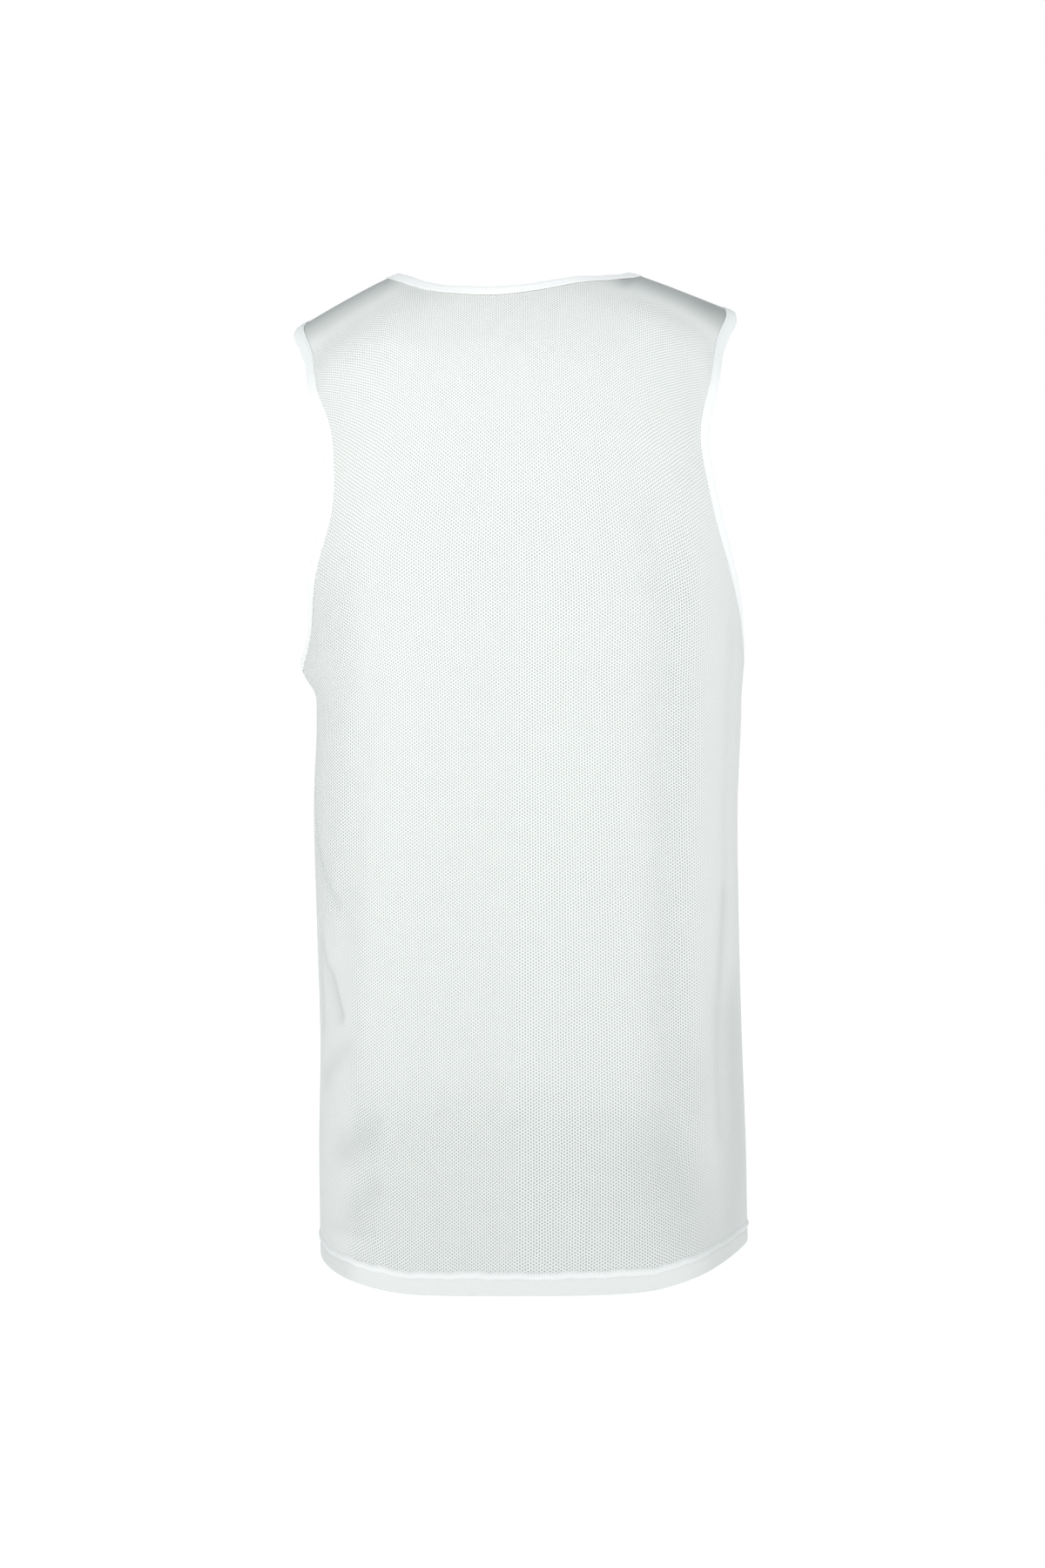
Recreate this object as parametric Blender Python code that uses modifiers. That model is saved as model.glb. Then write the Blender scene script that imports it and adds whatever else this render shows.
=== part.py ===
"""Sleeveless mesh training vest, filled out as if worn, made of its cut pieces.

Two panels (back and front, each with its own turned-up hem), one neck binding and two
armhole bindings.  Metres, +Z up.  The origin lies midway between the neck ends of the
shoulder seams, where the wearer's shoulders carry the vest.  The back faces -Y and the
wearer's right side is +X.
"""

import math
from collections import namedtuple

import bmesh
import bpy
import numpy as np

# ---------------------------------------------------------------- driving dimensions
CLOTH = 0.0012            # wall of one layer of knitted mesh
SEAM_GAP = 0.0003         # air between two layers or pieces that are sewn together
SEAM_SPACE = 0.0010       # the same between the middles of two walls that meet at an angle
HEM_TURN = 0.017          # width of the turned-up hem
BAND_WIDTH = 0.0085       # finished width of the folded armhole binding
NECK_BAND_WIDTH = 0.0065  # finished width of the folded neck binding
BAND_THICKNESS = 0.0022   # the binding is folded double
BAND_START = 0.0008       # from the panel's edge to the binding, so that corners stay clear
HALF_PANEL = 0.245        # centre line to side seam, measured round the cloth
UNDERARM = 0.474          # top of the side seam, measured up the cloth from the hem
SEAM_ALONG = 0.845        # shoulder seam, measured up the cloth from the hem

NECK_SHARE = 0.585        # neck end of the shoulder seam, as a share of the half panel
BACK_NECK_DROP = 0.0907   # shoulder line down the cloth to the back neckline's lowest point
BACK_NECK_LOW = -0.205    # that point, as a share of the neck's half width
BACK_NECK_LEFT = 2.0      # how squarely the back neckline bends on its left
BACK_NECK_RIGHT = 1.35    # and on its right, where it rises almost straight
BACK_NECK_RIM = 0.36      # how steeply it leaves the neck ends
FRONT_NECK_DROP = 0.175   # the front scoop is deeper and even
FRONT_NECK_BEND = 2.2
FRONT_NECK_RIM = 0.5

SHOULDER_BREAK = 0.55     # share of the half width at which the shoulders start to fall
SHOULDER_SOFT = 0.05      # how softly they do so
WING_REACH = 3            # the higher, the closer to the side seam a pulled-out side stays
EDGE_FADE = 0.12          # share of the half panel over which folds die out at its sides

COLUMNS_SHOULDER = 6      # quads across each shoulder
COLUMNS_NECK = 14         # quads across the neck
ROWS_SKIRT = 15           # quads from the hem to the underarm
ROWS_YOKE = 16            # quads from the underarm to the shoulder seam or neckline
FOOT_CROWDING = 0.75      # how closely those rows crowd at the underarm
SECTION_STEPS = 40        # straight steps that a section's curve is summed over
PROBE = 0.004             # half the span over which slopes of the cloth are read
ARMHOLE_INWARD = 0.02     # share across that leads from an armhole's edge into the cloth
NECK_OUTWARD = 0.03       # the same beside the neck, where the cloth lies further out

# A panel hangs between three rails: its centre line and the body's two sides.  Each row is
# a section, in millimetres, "along" up the cloth from the hem.  "turn" is how far the
# cloth has turned by its side, in degrees, and the two "flat" values are how late it
# starts to.  The two "cut" values are where the panel ends, as a share of the way to the
# side.  "wing" pulls the left side out where the armhole's foot stands off the body.
Section = namedtuple(
    "Section",
    "name along centre_y centre_z left_x left_y left_z right_x right_y right_z"
    " turn left_flat right_flat left_cut right_cut wing",
)
MM = 0.001
BACK_SECTIONS = (
    Section("hem", 0, -60, -762, -155, 66, -756, 187, 70, -751, 90, 3.2, 2.2, 1, 1, 0),
    Section("skirt", 85, -61, -677, -156, 66, -673, 185, 70, -671, 90, 3.2, 2.0, 1, 1, 0),
    Section("seat", 170, -61, -592, -155, 66, -592, 182, 70, -592, 90, 3.2, 2.0, 1, 1, 0),
    Section("hip", 270, -60, -492, -158, 66, -492, 179, 68, -492, 90, 3.0, 2.0, 1, 1, 0),
    Section("waist", 365, -62, -397, -160, 65, -397, 178, 67, -397, 90, 3.0, 2.2, 1, 1, 0),
    Section("ribs", 430, -71, -333, -157.5, 62, -334, 180, 64, -334, 90, 2.8, 2.6, 1, 1, 0),
    Section("side nip", 450, -75, -313, -157, 59, -316, 180, 61, -316, 90, 2.7, 2.7, 1, 1, -1.5),
    Section("underarm", 474, -80, -290, -160, 55, -296, 181, 58, -296, 90, 2.6, 2.8, 1, 1, -9.5),
    Section("armpit", 505, -87, -260, -161, 52, -266, 180, 54, -266, 90, 2.5, 2.7, 0.86, 0.885, -4),
    Section("armhole low", 540, -97, -226, -170, 35, -234, 181, 37, -234, 80, 2.5, 2.6, 0.775, 0.815, 0),
    Section("armhole mid", 595, -112, -172, -162, -6, -186, 171, -4, -186, 66, 2.3, 2.4, 0.745, 0.785, 0),
    Section("armhole high", 650, -120, -118, -154, -42, -140, 156, -42, -140, 50, 2.1, 2.1, 0.825, 0.835, 0),
    Section("blades", 710, -114, -68, -153.5, -48, -98, 154, -48, -94, 38, 1.9, 1.9, 0.93, 0.92, 0),
    Section("yoke", 760, -91, -31.5, -155.5, -34, -64, 155, -34, -55, 30, 1.9, 1.9, 0.975, 0.975, 0),
    Section("crest", 800, -52, -7.5, -161, -13, -40, 161.5, -13, -30, 22, 2.0, 2.0, 1, 1, 0),
    Section("seam", 845, 0, 4, -158, 6, -30, 161, 6, -19, 14, 2.0, 2.0, 1, 1, 0),
)
FRONT_SECTIONS = (
    Section("hem", 0, 174, -758, -155, 66, -756, 187, 70, -751, 90, 2.2, 2.2, 1, 1, 0),
    Section("skirt", 85, 173, -674, -156, 66, -673, 185, 70, -671, 90, 2.2, 2.2, 1, 1, 0),
    Section("seat", 170, 172, -589, -155, 66, -592, 182, 70, -592, 90, 2.2, 2.2, 1, 1, 0),
    Section("hip", 270, 170, -489, -158, 66, -492, 179, 68, -492, 90, 2.2, 2.2, 1, 1, 0),
    Section("waist", 365, 167, -395, -160, 65, -397, 178, 67, -397, 90, 2.2, 2.2, 1, 1, 0),
    Section("ribs", 430, 163, -331, -157.5, 62, -334, 180, 64, -334, 90, 2.2, 2.2, 1, 1, 0),
    Section("side nip", 450, 161, -309, -157, 59, -316, 180, 61, -316, 90, 2.2, 2.2, 1, 1, -1.5),
    Section("underarm", 474, 158, -287, -160, 55, -296, 181, 58, -296, 90, 2.2, 2.2, 1, 1, -9.5),
    Section("armpit", 505, 154, -256, -161, 52, -266, 180, 54, -266, 90, 2.2, 2.2, 0.83, 0.83, -4),
    Section("armhole low", 540, 147, -222, -170, 68, -234, 178, 70, -234, 78, 2.0, 2.0, 0.76, 0.76, 0),
    Section("armhole mid", 595, 133, -170, -163, 74, -186, 168, 76, -186, 66, 2.0, 2.0, 0.73, 0.73, 0),
    Section("armhole high", 650, 113, -121, -156, 70, -140, 160, 70, -138, 56, 2.0, 2.0, 0.76, 0.76, 0),
    Section("chest", 710, 86, -71, -154, 56, -96, 156, 56, -92, 44, 2.0, 2.0, 0.83, 0.83, 0),
    Section("collar", 760, 57, -33, -155, 38, -62, 156, 38, -54, 34, 2.0, 2.0, 0.91, 0.91, 0),
    Section("crest", 800, 32, -8, -160, 22, -41, 162, 22, -30, 24, 2.0, 2.0, 0.98, 0.98, 0),
    Section("seam", 845, 0, 4, -158, 6, -30, 161, 6, -19, 14, 2.0, 2.0, 1, 1, 0),
)

# Folds run from one place on the cloth to another: "across" is the share of the half
# panel, minus on the wearer's left, and "along" is metres up from the hem.  A negative
# depth is a trough.
Fold = namedtuple("Fold", "name across_0 along_0 across_1 along_1 width depth")
BACK_FOLDS = (
    Fold("left trough", -0.60, 0.530, -0.62, 0.300, 0.014, -0.0030),
    Fold("left lower drag", -0.74, 0.420, -0.64, 0.170, 0.013, -0.0035),
    Fold("left hem drag", -0.80, 0.260, -0.68, 0.080, 0.015, -0.0030),
    Fold("right long wave", 0.60, 0.440, 0.56, 0.060, 0.020, -0.0030),
    Fold("right outer swell", 0.76, 0.420, 0.74, 0.030, 0.018, 0.0030),
    Fold("neck point dimple", 0.64, 0.840, 0.60, 0.815, 0.009, -0.0016),
)
FRONT_FOLDS = (
    Fold("right trough", 0.58, 0.500, 0.62, 0.240, 0.016, -0.0035),
    Fold("left long wave", -0.52, 0.420, -0.58, 0.050, 0.020, -0.0035),
    Fold("middle swell", 0.08, 0.300, 0.02, 0.020, 0.026, 0.0030),
)


# ---------------------------------------------------------------- the surface
def curve_through(knots, values, at):
    """Smooth curve through a table's column, read at the given places."""
    knots = np.asarray(knots, float)
    values = np.asarray(values, float)
    slopes = np.gradient(values, knots)
    index = np.clip(np.searchsorted(knots, at, side="right") - 1, 0, len(knots) - 2)
    step = np.diff(knots)[index]
    t = (at - knots[index]) / step
    return (
        (2 * t**3 - 3 * t**2 + 1) * values[index]
        + (t**3 - 2 * t**2 + t) * step * slopes[index]
        + (3 * t**2 - 2 * t**3) * values[index + 1]
        + (t**3 - t**2) * step * slopes[index + 1]
    )


def ease(x):
    """Smooth step from 0 to 1."""
    x = np.clip(x, 0.0, 1.0)
    return x * x * (3.0 - 2.0 * x)


def section_shares(share, turn, flat):
    """How far out and how far round a section has come at each share of its length."""
    steps = np.linspace(0.0, 1.0, SECTION_STEPS + 1)
    angle = turn[..., None] * steps ** flat[..., None]
    place = np.minimum(share, 1.0) * SECTION_STEPS
    low = np.minimum(place.astype(int), SECTION_STEPS - 1)[..., None]
    part = place - low[..., 0]
    shares = []
    for slope in (np.cos(angle), np.sin(angle)):
        total = np.cumsum(slope, axis=-1) - slope[..., :1]
        before = np.take_along_axis(total, low, -1)[..., 0]
        after = np.take_along_axis(total, low + 1, -1)[..., 0]
        shares.append((before * (1 - part) + after * part) / total[..., -1])
    return shares


def shoulder_fall(out):
    """Share of a section's fall reached at a share of its half width."""

    def ramp(x):
        return x + np.sqrt(x * x + SHOULDER_SOFT**2)

    start = ramp(-SHOULDER_BREAK)
    return (ramp(out - SHOULDER_BREAK) - start) / (ramp(1.0 - SHOULDER_BREAK) - start)


def unfolded(panel, across, along):
    """Points of a panel before its folds, at shares across and metres along.

    One row of the other panel, past the shoulder seam, carries the cloth over the
    shoulder without a ridge."""
    rows = (*panel.sections, panel.beyond)
    knots = [row.along * MM for row in rows]
    knots[-1] = 2 * SEAM_ALONG - knots[-1]

    def column(name):
        return curve_through(knots, [getattr(row, name) for row in rows], along)

    def side(name):
        return np.where(across < 0.0, column("left_" + name), column("right_" + name))

    out, around = section_shares(np.abs(across), np.radians(column("turn")), side("flat"))
    wing = np.where(across < 0.0, column("wing"), 0.0)
    centre_y = column("centre_y")
    centre_z = column("centre_z")
    x = side("x") * out + wing * around**WING_REACH
    y = centre_y + (side("y") - centre_y) * around
    z = centre_z + (side("z") - centre_z) * shoulder_fall(out)
    return np.stack((x, y, z), axis=-1) * MM


def normals(panel, across, along):
    """Outward unit normals of the unfolded panel."""
    left = np.clip(across - PROBE, -1.0, 1.0 - 2 * PROBE)
    low = np.clip(along - PROBE, 0.0, SEAM_ALONG - 2 * PROBE)
    sideways = unfolded(panel, left + 2 * PROBE, along) - unfolded(panel, left, along)
    upwards = unfolded(panel, across, low + 2 * PROBE) - unfolded(panel, across, low)
    normal = np.cross(sideways, upwards) * panel.facing
    return normal / np.linalg.norm(normal, axis=-1, keepdims=True)


def fold_height(folds, across, along):
    """Height of all folds over the smooth panel; they die out at the panel's sides."""
    height = np.zeros_like(across)
    for fold in folds:
        start = np.array((fold.across_0 * HALF_PANEL, fold.along_0))
        run = np.array((fold.across_1 * HALF_PANEL, fold.along_1)) - start
        length = np.hypot(*run)
        run /= length
        x = across * HALF_PANEL - start[0]
        y = along - start[1]
        forward = x * run[0] + y * run[1]
        sideways = x * run[1] - y * run[0]
        ends = ease(np.minimum(forward, length - forward) / (2.0 * fold.width) + 1.0)
        height += fold.depth * ends * np.exp(-((sideways / fold.width) ** 2))
    return height * ease((1.0 - np.abs(across)) / EDGE_FADE)


def cloth(panel, across, along, lift=0.0):
    """Points of a panel, folds and all, moved out by lift."""
    height = fold_height(panel.folds, across, along) + lift
    return unfolded(panel, across, along) + normals(panel, across, along) * height[..., None]


# ---------------------------------------------------------------- the cut
def back_neckline(share):
    """Drop of the back neckline at a share of the neck's half width."""
    left = share < BACK_NECK_LOW
    reach = (share - BACK_NECK_LOW) / (np.where(left, -1.0, 1.0) - BACK_NECK_LOW)
    bend = np.where(left, BACK_NECK_LEFT, BACK_NECK_RIGHT)
    return BACK_NECK_DROP * (1.0 - np.minimum(reach, 1.0) ** bend) ** BACK_NECK_RIM


def front_neckline(share):
    """Drop of the front neckline at a share of the neck's half width."""
    return FRONT_NECK_DROP * (1.0 - np.abs(share) ** FRONT_NECK_BEND) ** FRONT_NECK_RIM


Panel = namedtuple("Panel", "name facing sections beyond folds neckline")
BACK = Panel("back_panel", 1.0, BACK_SECTIONS, FRONT_SECTIONS[-2], BACK_FOLDS, back_neckline)
FRONT = Panel("front_panel", -1.0, FRONT_SECTIONS, BACK_SECTIONS[-2], FRONT_FOLDS, front_neckline)


def top_edge(panel, share):
    """How far up the cloth the panel reaches in each of its columns."""
    return SEAM_ALONG - panel.neckline(np.clip(share / NECK_SHARE, -1.0, 1.0))


def column_shares():
    """Shares of the panel's own width at which its columns lie, neck ends among them."""
    left = np.linspace(-1.0, -NECK_SHARE, COLUMNS_SHOULDER + 1)
    middle = NECK_SHARE * np.sin(np.linspace(-1.0, 1.0, COLUMNS_NECK + 1) * math.pi / 2)
    return np.concatenate((left, middle[1:-1], -left[::-1]))


def cut_back(panel, share, along):
    """Shares across at which a share of the panel's own width lies, armholes cut away.

    The cut is read by the square root of the height over the underarm, which makes the
    armhole's foot round."""
    rows = [row for row in panel.sections if row.along * MM >= UNDERARM]
    knots = np.sqrt([row.along * MM - UNDERARM for row in rows])
    rise = np.sqrt(np.maximum(along - UNDERARM, 0.0))
    left = curve_through(knots, [row.left_cut for row in rows], rise)
    right = curve_through(knots, [row.right_cut for row in rows], rise)
    return share * np.minimum(np.where(share < 0.0, left, right), 1.0)


def yoke_rise():
    """Rows from the underarm to the top edge, close together round the armhole's foot."""
    sweep = 1.0 - np.cos(np.linspace(0.0, FOOT_CROWDING * math.pi, ROWS_YOKE + 1))
    return sweep / sweep[-1]


def seam_trim(panel, across):
    """How far down the cloth from the shoulder line a panel stops, to leave SEAM_SPACE."""
    top = np.full_like(across, SEAM_ALONG)
    step = unfolded(panel, across, top) - unfolded(panel, across, top - SEAM_SPACE)
    return SEAM_SPACE / 2 * SEAM_SPACE / np.linalg.norm(step, axis=-1)


def panel_grid(panel):
    """Shares across and metres along of a panel's vertices, hem row first, seams clear."""
    share = column_shares()
    top = top_edge(panel, share)
    rows = [np.full_like(share, height) for height in np.linspace(0.0, UNDERARM, ROWS_SKIRT + 1)]
    rows += [UNDERARM + (top - UNDERARM) * rise for rise in yoke_rise()[1:]]
    along = np.array(rows)
    across = cut_back(panel, np.broadcast_to(share, along.shape), along)
    inset = SEAM_SPACE / 2 / HALF_PANEL
    across = np.clip(across, -1.0 + inset, 1.0 - inset)
    along[-1] = np.minimum(along[-1], SEAM_ALONG - seam_trim(panel, across[-1]))
    return across, along


def edge_run(panel, across, along, inside_across, inside_along):
    """Points, outward normals and directions off the cloth along one edge of a panel.

    The last two values lead from the edge to a place inside the cloth."""
    points = cloth(panel, across, along)
    inside = cloth(panel, across + inside_across, along + inside_along)
    normal = normals(panel, across, along)
    off = np.cross(np.gradient(points, axis=0), normal)
    off /= np.linalg.norm(off, axis=-1, keepdims=True)
    return points, normal, off * np.sign(np.sum(off * (points - inside), axis=-1, keepdims=True))


def opening_loop(back, front):
    """Join a back and a front edge run into the loop round an opening.

    The runs meet at their ends, where the loop takes the mean of the two."""
    joined = []
    for ahead, returning in zip(back, front):
        returning = returning[::-1]
        start = (ahead[0] + returning[-1]) / 2
        middle = (ahead[-1] + returning[0]) / 2
        joined.append(np.concatenate((start[None], ahead[1:-1], middle[None], returning[1:-1])))
    points, normal, off = joined
    normal /= np.linalg.norm(normal, axis=-1, keepdims=True)
    off -= normal * np.sum(off * normal, axis=-1, keepdims=True)
    return points, normal, off / np.linalg.norm(off, axis=-1, keepdims=True)


def armhole_loop(side):
    """The loop round one armhole: up the back edge and down the front edge."""
    along = UNDERARM + (SEAM_ALONG - UNDERARM) * yoke_rise()
    share = np.full_like(along, side)
    runs = []
    for panel in (BACK, FRONT):
        across = cut_back(panel, share, along)
        runs.append(edge_run(panel, across, along, -ARMHOLE_INWARD * side, -PROBE))
    return opening_loop(*runs)


def neck_loop():
    """The loop round the neck: across the back and back across the front."""
    share = column_shares()[COLUMNS_SHOULDER : COLUMNS_SHOULDER + COLUMNS_NECK + 1]
    runs = []
    for panel in (BACK, FRONT):
        along = top_edge(panel, share)
        across = cut_back(panel, share, along)
        runs.append(edge_run(panel, across, along, NECK_OUTWARD * share, -PROBE))
    return opening_loop(*runs)


# ---------------------------------------------------------------- pieces
def material(name, rgb, roughness):
    """A plain matt cloth material."""
    made = bpy.data.materials.new(name)
    made.use_nodes = True
    shader = made.node_tree.nodes["Principled BSDF"]
    shader.inputs["Base Color"].default_value = (*rgb, 1.0)
    shader.inputs["Roughness"].default_value = roughness
    shader.inputs["Metallic"].default_value = 0.0
    return made


def loft(name, rows, closed, skin, collection):
    """An object whose faces join rows of points; closed also joins the last to the first."""
    count, width = rows.shape[:2]
    mesh = bpy.data.meshes.new(name)
    faces = []
    for row in range(count if closed else count - 1):
        above = (row + 1) % count
        for column in range(width if closed else width - 1):
            beside = (column + 1) % width
            faces.append(
                (row * width + column, row * width + beside, above * width + beside, above * width + column)
            )
    mesh.from_pydata([tuple(point) for point in rows.reshape(-1, 3)], [], faces)
    mesh.materials.append(skin)
    work = bmesh.new()
    work.from_mesh(mesh)
    bmesh.ops.recalc_face_normals(work, faces=work.faces)
    work.to_mesh(mesh)
    work.free()
    mesh.shade_smooth()
    made = bpy.data.objects.new(name, mesh)
    collection.objects.link(made)
    return made


def make_panel(panel, skin, collection):
    """A panel: one sheet from its hem to its shoulder seams, its hem turned up inside."""
    across, along = panel_grid(panel)
    foot = across[0]
    layer = CLOTH + SEAM_GAP
    turned = [cloth(panel, foot, np.full_like(foot, height), -layer) for height in (HEM_TURN, 0.0)]
    crease = cloth(panel, foot, np.zeros_like(foot), -layer / 2)
    crease[:, 2] -= layer / 2
    rows = np.concatenate((turned, crease[None], cloth(panel, across, along)))
    made = loft(panel.name, rows, False, skin, collection)
    wall = made.modifiers.new("wall", "SOLIDIFY")
    wall.thickness = CLOTH
    wall.offset = 0.0


def make_band(name, loop, width, skin, collection):
    """A folded binding: a flat double band round an opening, rounded at its outer fold."""
    points, normal, off = loop
    half = BAND_THICKNESS / 2
    end = BAND_START + width
    profile = (
        (BAND_START, -half),
        (BAND_START, half),
        (end - half, half),
        (end, half / 2),
        (end, -half / 2),
        (end - half, -half),
    )
    rows = np.stack([points + off * reach + normal * height for reach, height in profile], axis=1)
    loft(name, rows, True, skin, collection)


def main():
    for old in list(bpy.data.objects):
        bpy.data.objects.remove(old, do_unlink=True)
    vest = bpy.data.collections.new("mesh_training_vest")
    bpy.context.scene.collection.children.link(vest)
    mesh_knit = material("white eyelet mesh knit", (0.86, 0.88, 0.87), 0.85)
    tape = material("white smooth binding", (0.92, 0.93, 0.93), 0.80)
    for panel in (BACK, FRONT):
        make_panel(panel, mesh_knit, vest)
    make_band("neck_binding", neck_loop(), NECK_BAND_WIDTH, tape, vest)
    for name, side in (("armhole_binding_left", -1.0), ("armhole_binding_right", 1.0)):
        make_band(name, armhole_loop(side), BAND_WIDTH, tape, vest)


if __name__ == "__main__":
    main()
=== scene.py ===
"""Looks of a sleeveless mesh training vest, filled out as if worn.

The file is laid out as a Blender add-on and run as a script.  Each operator adds one of the
vest's pieces, or a group of like pieces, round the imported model; the last adds the stage.
Metres, +Z up.  The back faces -Y and the wearer's right side is +X.
"""

import math
from collections import namedtuple

import bpy
import mathutils
import numpy as np
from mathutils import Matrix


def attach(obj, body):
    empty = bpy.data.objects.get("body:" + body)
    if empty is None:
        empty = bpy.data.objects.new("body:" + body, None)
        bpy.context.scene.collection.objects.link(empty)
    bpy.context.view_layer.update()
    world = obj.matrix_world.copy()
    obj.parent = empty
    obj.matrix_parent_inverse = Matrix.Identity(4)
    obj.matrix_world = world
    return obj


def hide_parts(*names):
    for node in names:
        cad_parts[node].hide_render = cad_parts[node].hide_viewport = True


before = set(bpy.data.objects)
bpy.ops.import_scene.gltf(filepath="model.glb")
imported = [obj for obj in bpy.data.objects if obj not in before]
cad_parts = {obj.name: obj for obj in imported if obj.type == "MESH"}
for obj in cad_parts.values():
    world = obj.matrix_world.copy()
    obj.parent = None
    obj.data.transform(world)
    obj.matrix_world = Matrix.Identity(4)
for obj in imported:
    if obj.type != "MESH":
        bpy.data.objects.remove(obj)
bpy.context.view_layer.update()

bl_info = {
    "name": "Mesh training vest",
    "version": (1, 0, 0),
    "blender": (4, 5, 0),
    "location": "View3D > Sidebar > Vest",
    "description": "Adds a sleeveless eyelet-mesh vest, its bindings and stitches, and a studio",
    "category": "Add Mesh",
}

BODY = "root"
MM = 0.001

# ---------------------------------------------------------------- the cut and the form
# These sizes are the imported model's own, so that the cloth lies where its solids do.
HALF_PANEL = 0.245        # centre line to side seam, measured round the cloth
UNDERARM = 0.474          # top of the side seam, measured up the cloth from the hem
SEAM_ALONG = 0.845        # shoulder seam, measured up the cloth from the hem
HEM_TURN = 0.017          # width of the turned-up hem
BAND_WIDTH = 0.0085       # finished width of the folded armhole binding
NECK_BAND_WIDTH = 0.0065  # finished width of the folded neck binding

NECK_SHARE = 0.585        # neck end of the shoulder seam, as a share of the half panel
BACK_NECK_DROP = 0.0928   # shoulder line down the cloth to the back neckline's lowest point
BACK_NECK_LOW = -0.205    # that point, as a share of the neck's half width
BACK_NECK_LEFT = 2.0      # how squarely the back neckline bends on its left
BACK_NECK_RIGHT = 1.65    # and on its right, where it rises almost straight
BACK_NECK_RIM = 0.36      # how steeply it leaves the neck ends
FRONT_NECK_DROP = 0.175   # the front scoop is deeper and even
FRONT_NECK_BEND = 2.2
FRONT_NECK_RIM = 0.5

SHOULDER_BREAK = 0.55     # share of the half width at which the shoulders start to fall
SHOULDER_SOFT = 0.05      # how softly they do so
WING_REACH = 3            # the higher, the closer to the side seam a pulled-out side stays
EDGE_FADE = 0.12          # share of the half panel over which folds die out at its sides
SHADE_FADE = 0.03         # and over which the painted shade of their hollows does
SECTION_STEPS = 40        # straight steps that a section's curve is summed over
PROBE = 0.004             # half the span over which slopes of the cloth are read
ARMHOLE_INWARD = 0.02     # share across that leads from an armhole's edge into the cloth
NECK_OUTWARD = 0.03       # the same beside the neck, where the cloth lies further out

COLUMNS_SHOULDER = 34     # quads across each shoulder
COLUMNS_NECK = 76         # quads across the neck
ROWS_HEM = 36             # quads up the hem and just past its stitches
HEM_ZONE = 0.0205         # height of those rows
ROWS_SKIRT = 124          # quads from there to the underarm
ROWS_YOKE = 84            # quads from the underarm to the shoulder seam or neckline
FOOT_CROWDING = 0.75      # how closely those rows crowd at the underarm

# A panel hangs between three rails: its centre line and the body's two sides.  Each row is
# a section, in millimetres, "along" up the cloth from the hem.  "turn" is how far the
# cloth has turned by its side, in degrees, and the two "flat" values are how late it
# starts to.  The two "cut" values are where the panel ends, as a share of the way to the
# side.  "wing" pulls the left side out where the armhole's foot stands off the body.
Section = namedtuple(
    "Section",
    "name along centre_y centre_z left_x left_y left_z right_x right_y right_z"
    " turn left_flat right_flat left_cut right_cut wing",
)
BACK_SECTIONS = (
    Section("hem", 0, -60, -762, -155, 66, -756, 187, 70, -751, 90, 3.2, 2.2, 1, 1, 0),
    Section("skirt", 85, -61, -677, -156, 66, -673, 185, 70, -671, 90, 3.2, 2.0, 1, 1, 0),
    Section("seat", 170, -61, -592, -155, 66, -592, 182, 70, -592, 90, 3.2, 2.0, 1, 1, 0),
    Section("hip", 270, -60, -492, -158, 66, -492, 179, 68, -492, 90, 3.0, 2.0, 1, 1, 0),
    Section("waist", 365, -62, -397, -160, 65, -397, 178, 67, -397, 90, 3.0, 2.2, 1, 1, 0),
    Section("ribs", 430, -71, -333, -157.5, 62, -334, 180, 64, -334, 90, 2.8, 2.6, 1, 1, 0),
    Section("side nip", 450, -75, -313, -157, 59, -316, 180, 61, -316, 90, 2.7, 2.7, 1, 1, -1.5),
    Section("underarm", 474, -80, -290, -160, 55, -296, 181, 58, -296, 90, 2.6, 2.8, 1, 1, -9.5),
    Section("armpit", 505, -87, -260, -161, 52, -266, 180, 54, -266, 90, 2.5, 2.7, 0.86, 0.885, -4),
    Section("armhole low", 540, -97, -226, -170, 35, -234, 181, 37, -234, 80, 2.5, 2.6, 0.775, 0.815, 0),
    Section("armhole mid", 595, -112, -172, -162, -6, -186, 171, -4, -186, 66, 2.3, 2.4, 0.745, 0.785, 0),
    Section("armhole high", 650, -120, -118, -154, -42, -140, 156, -42, -140, 50, 2.1, 2.1, 0.825, 0.835, 0),
    Section("blades", 710, -114, -68, -153.5, -48, -98, 154, -48, -94, 38, 1.9, 1.9, 0.93, 0.92, 0),
    Section("yoke", 760, -91, -31.5, -155.5, -34, -64, 155, -34, -55, 30, 1.9, 1.9, 0.975, 0.975, 0),
    Section("crest", 800, -52, -7.5, -161, -13, -40, 161.5, -13, -30, 22, 2.0, 2.0, 1, 1, 0),
    Section("seam", 845, 0, 4, -158, 6, -30, 161, 6, -19, 14, 2.0, 2.0, 1, 1, 0),
)
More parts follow.
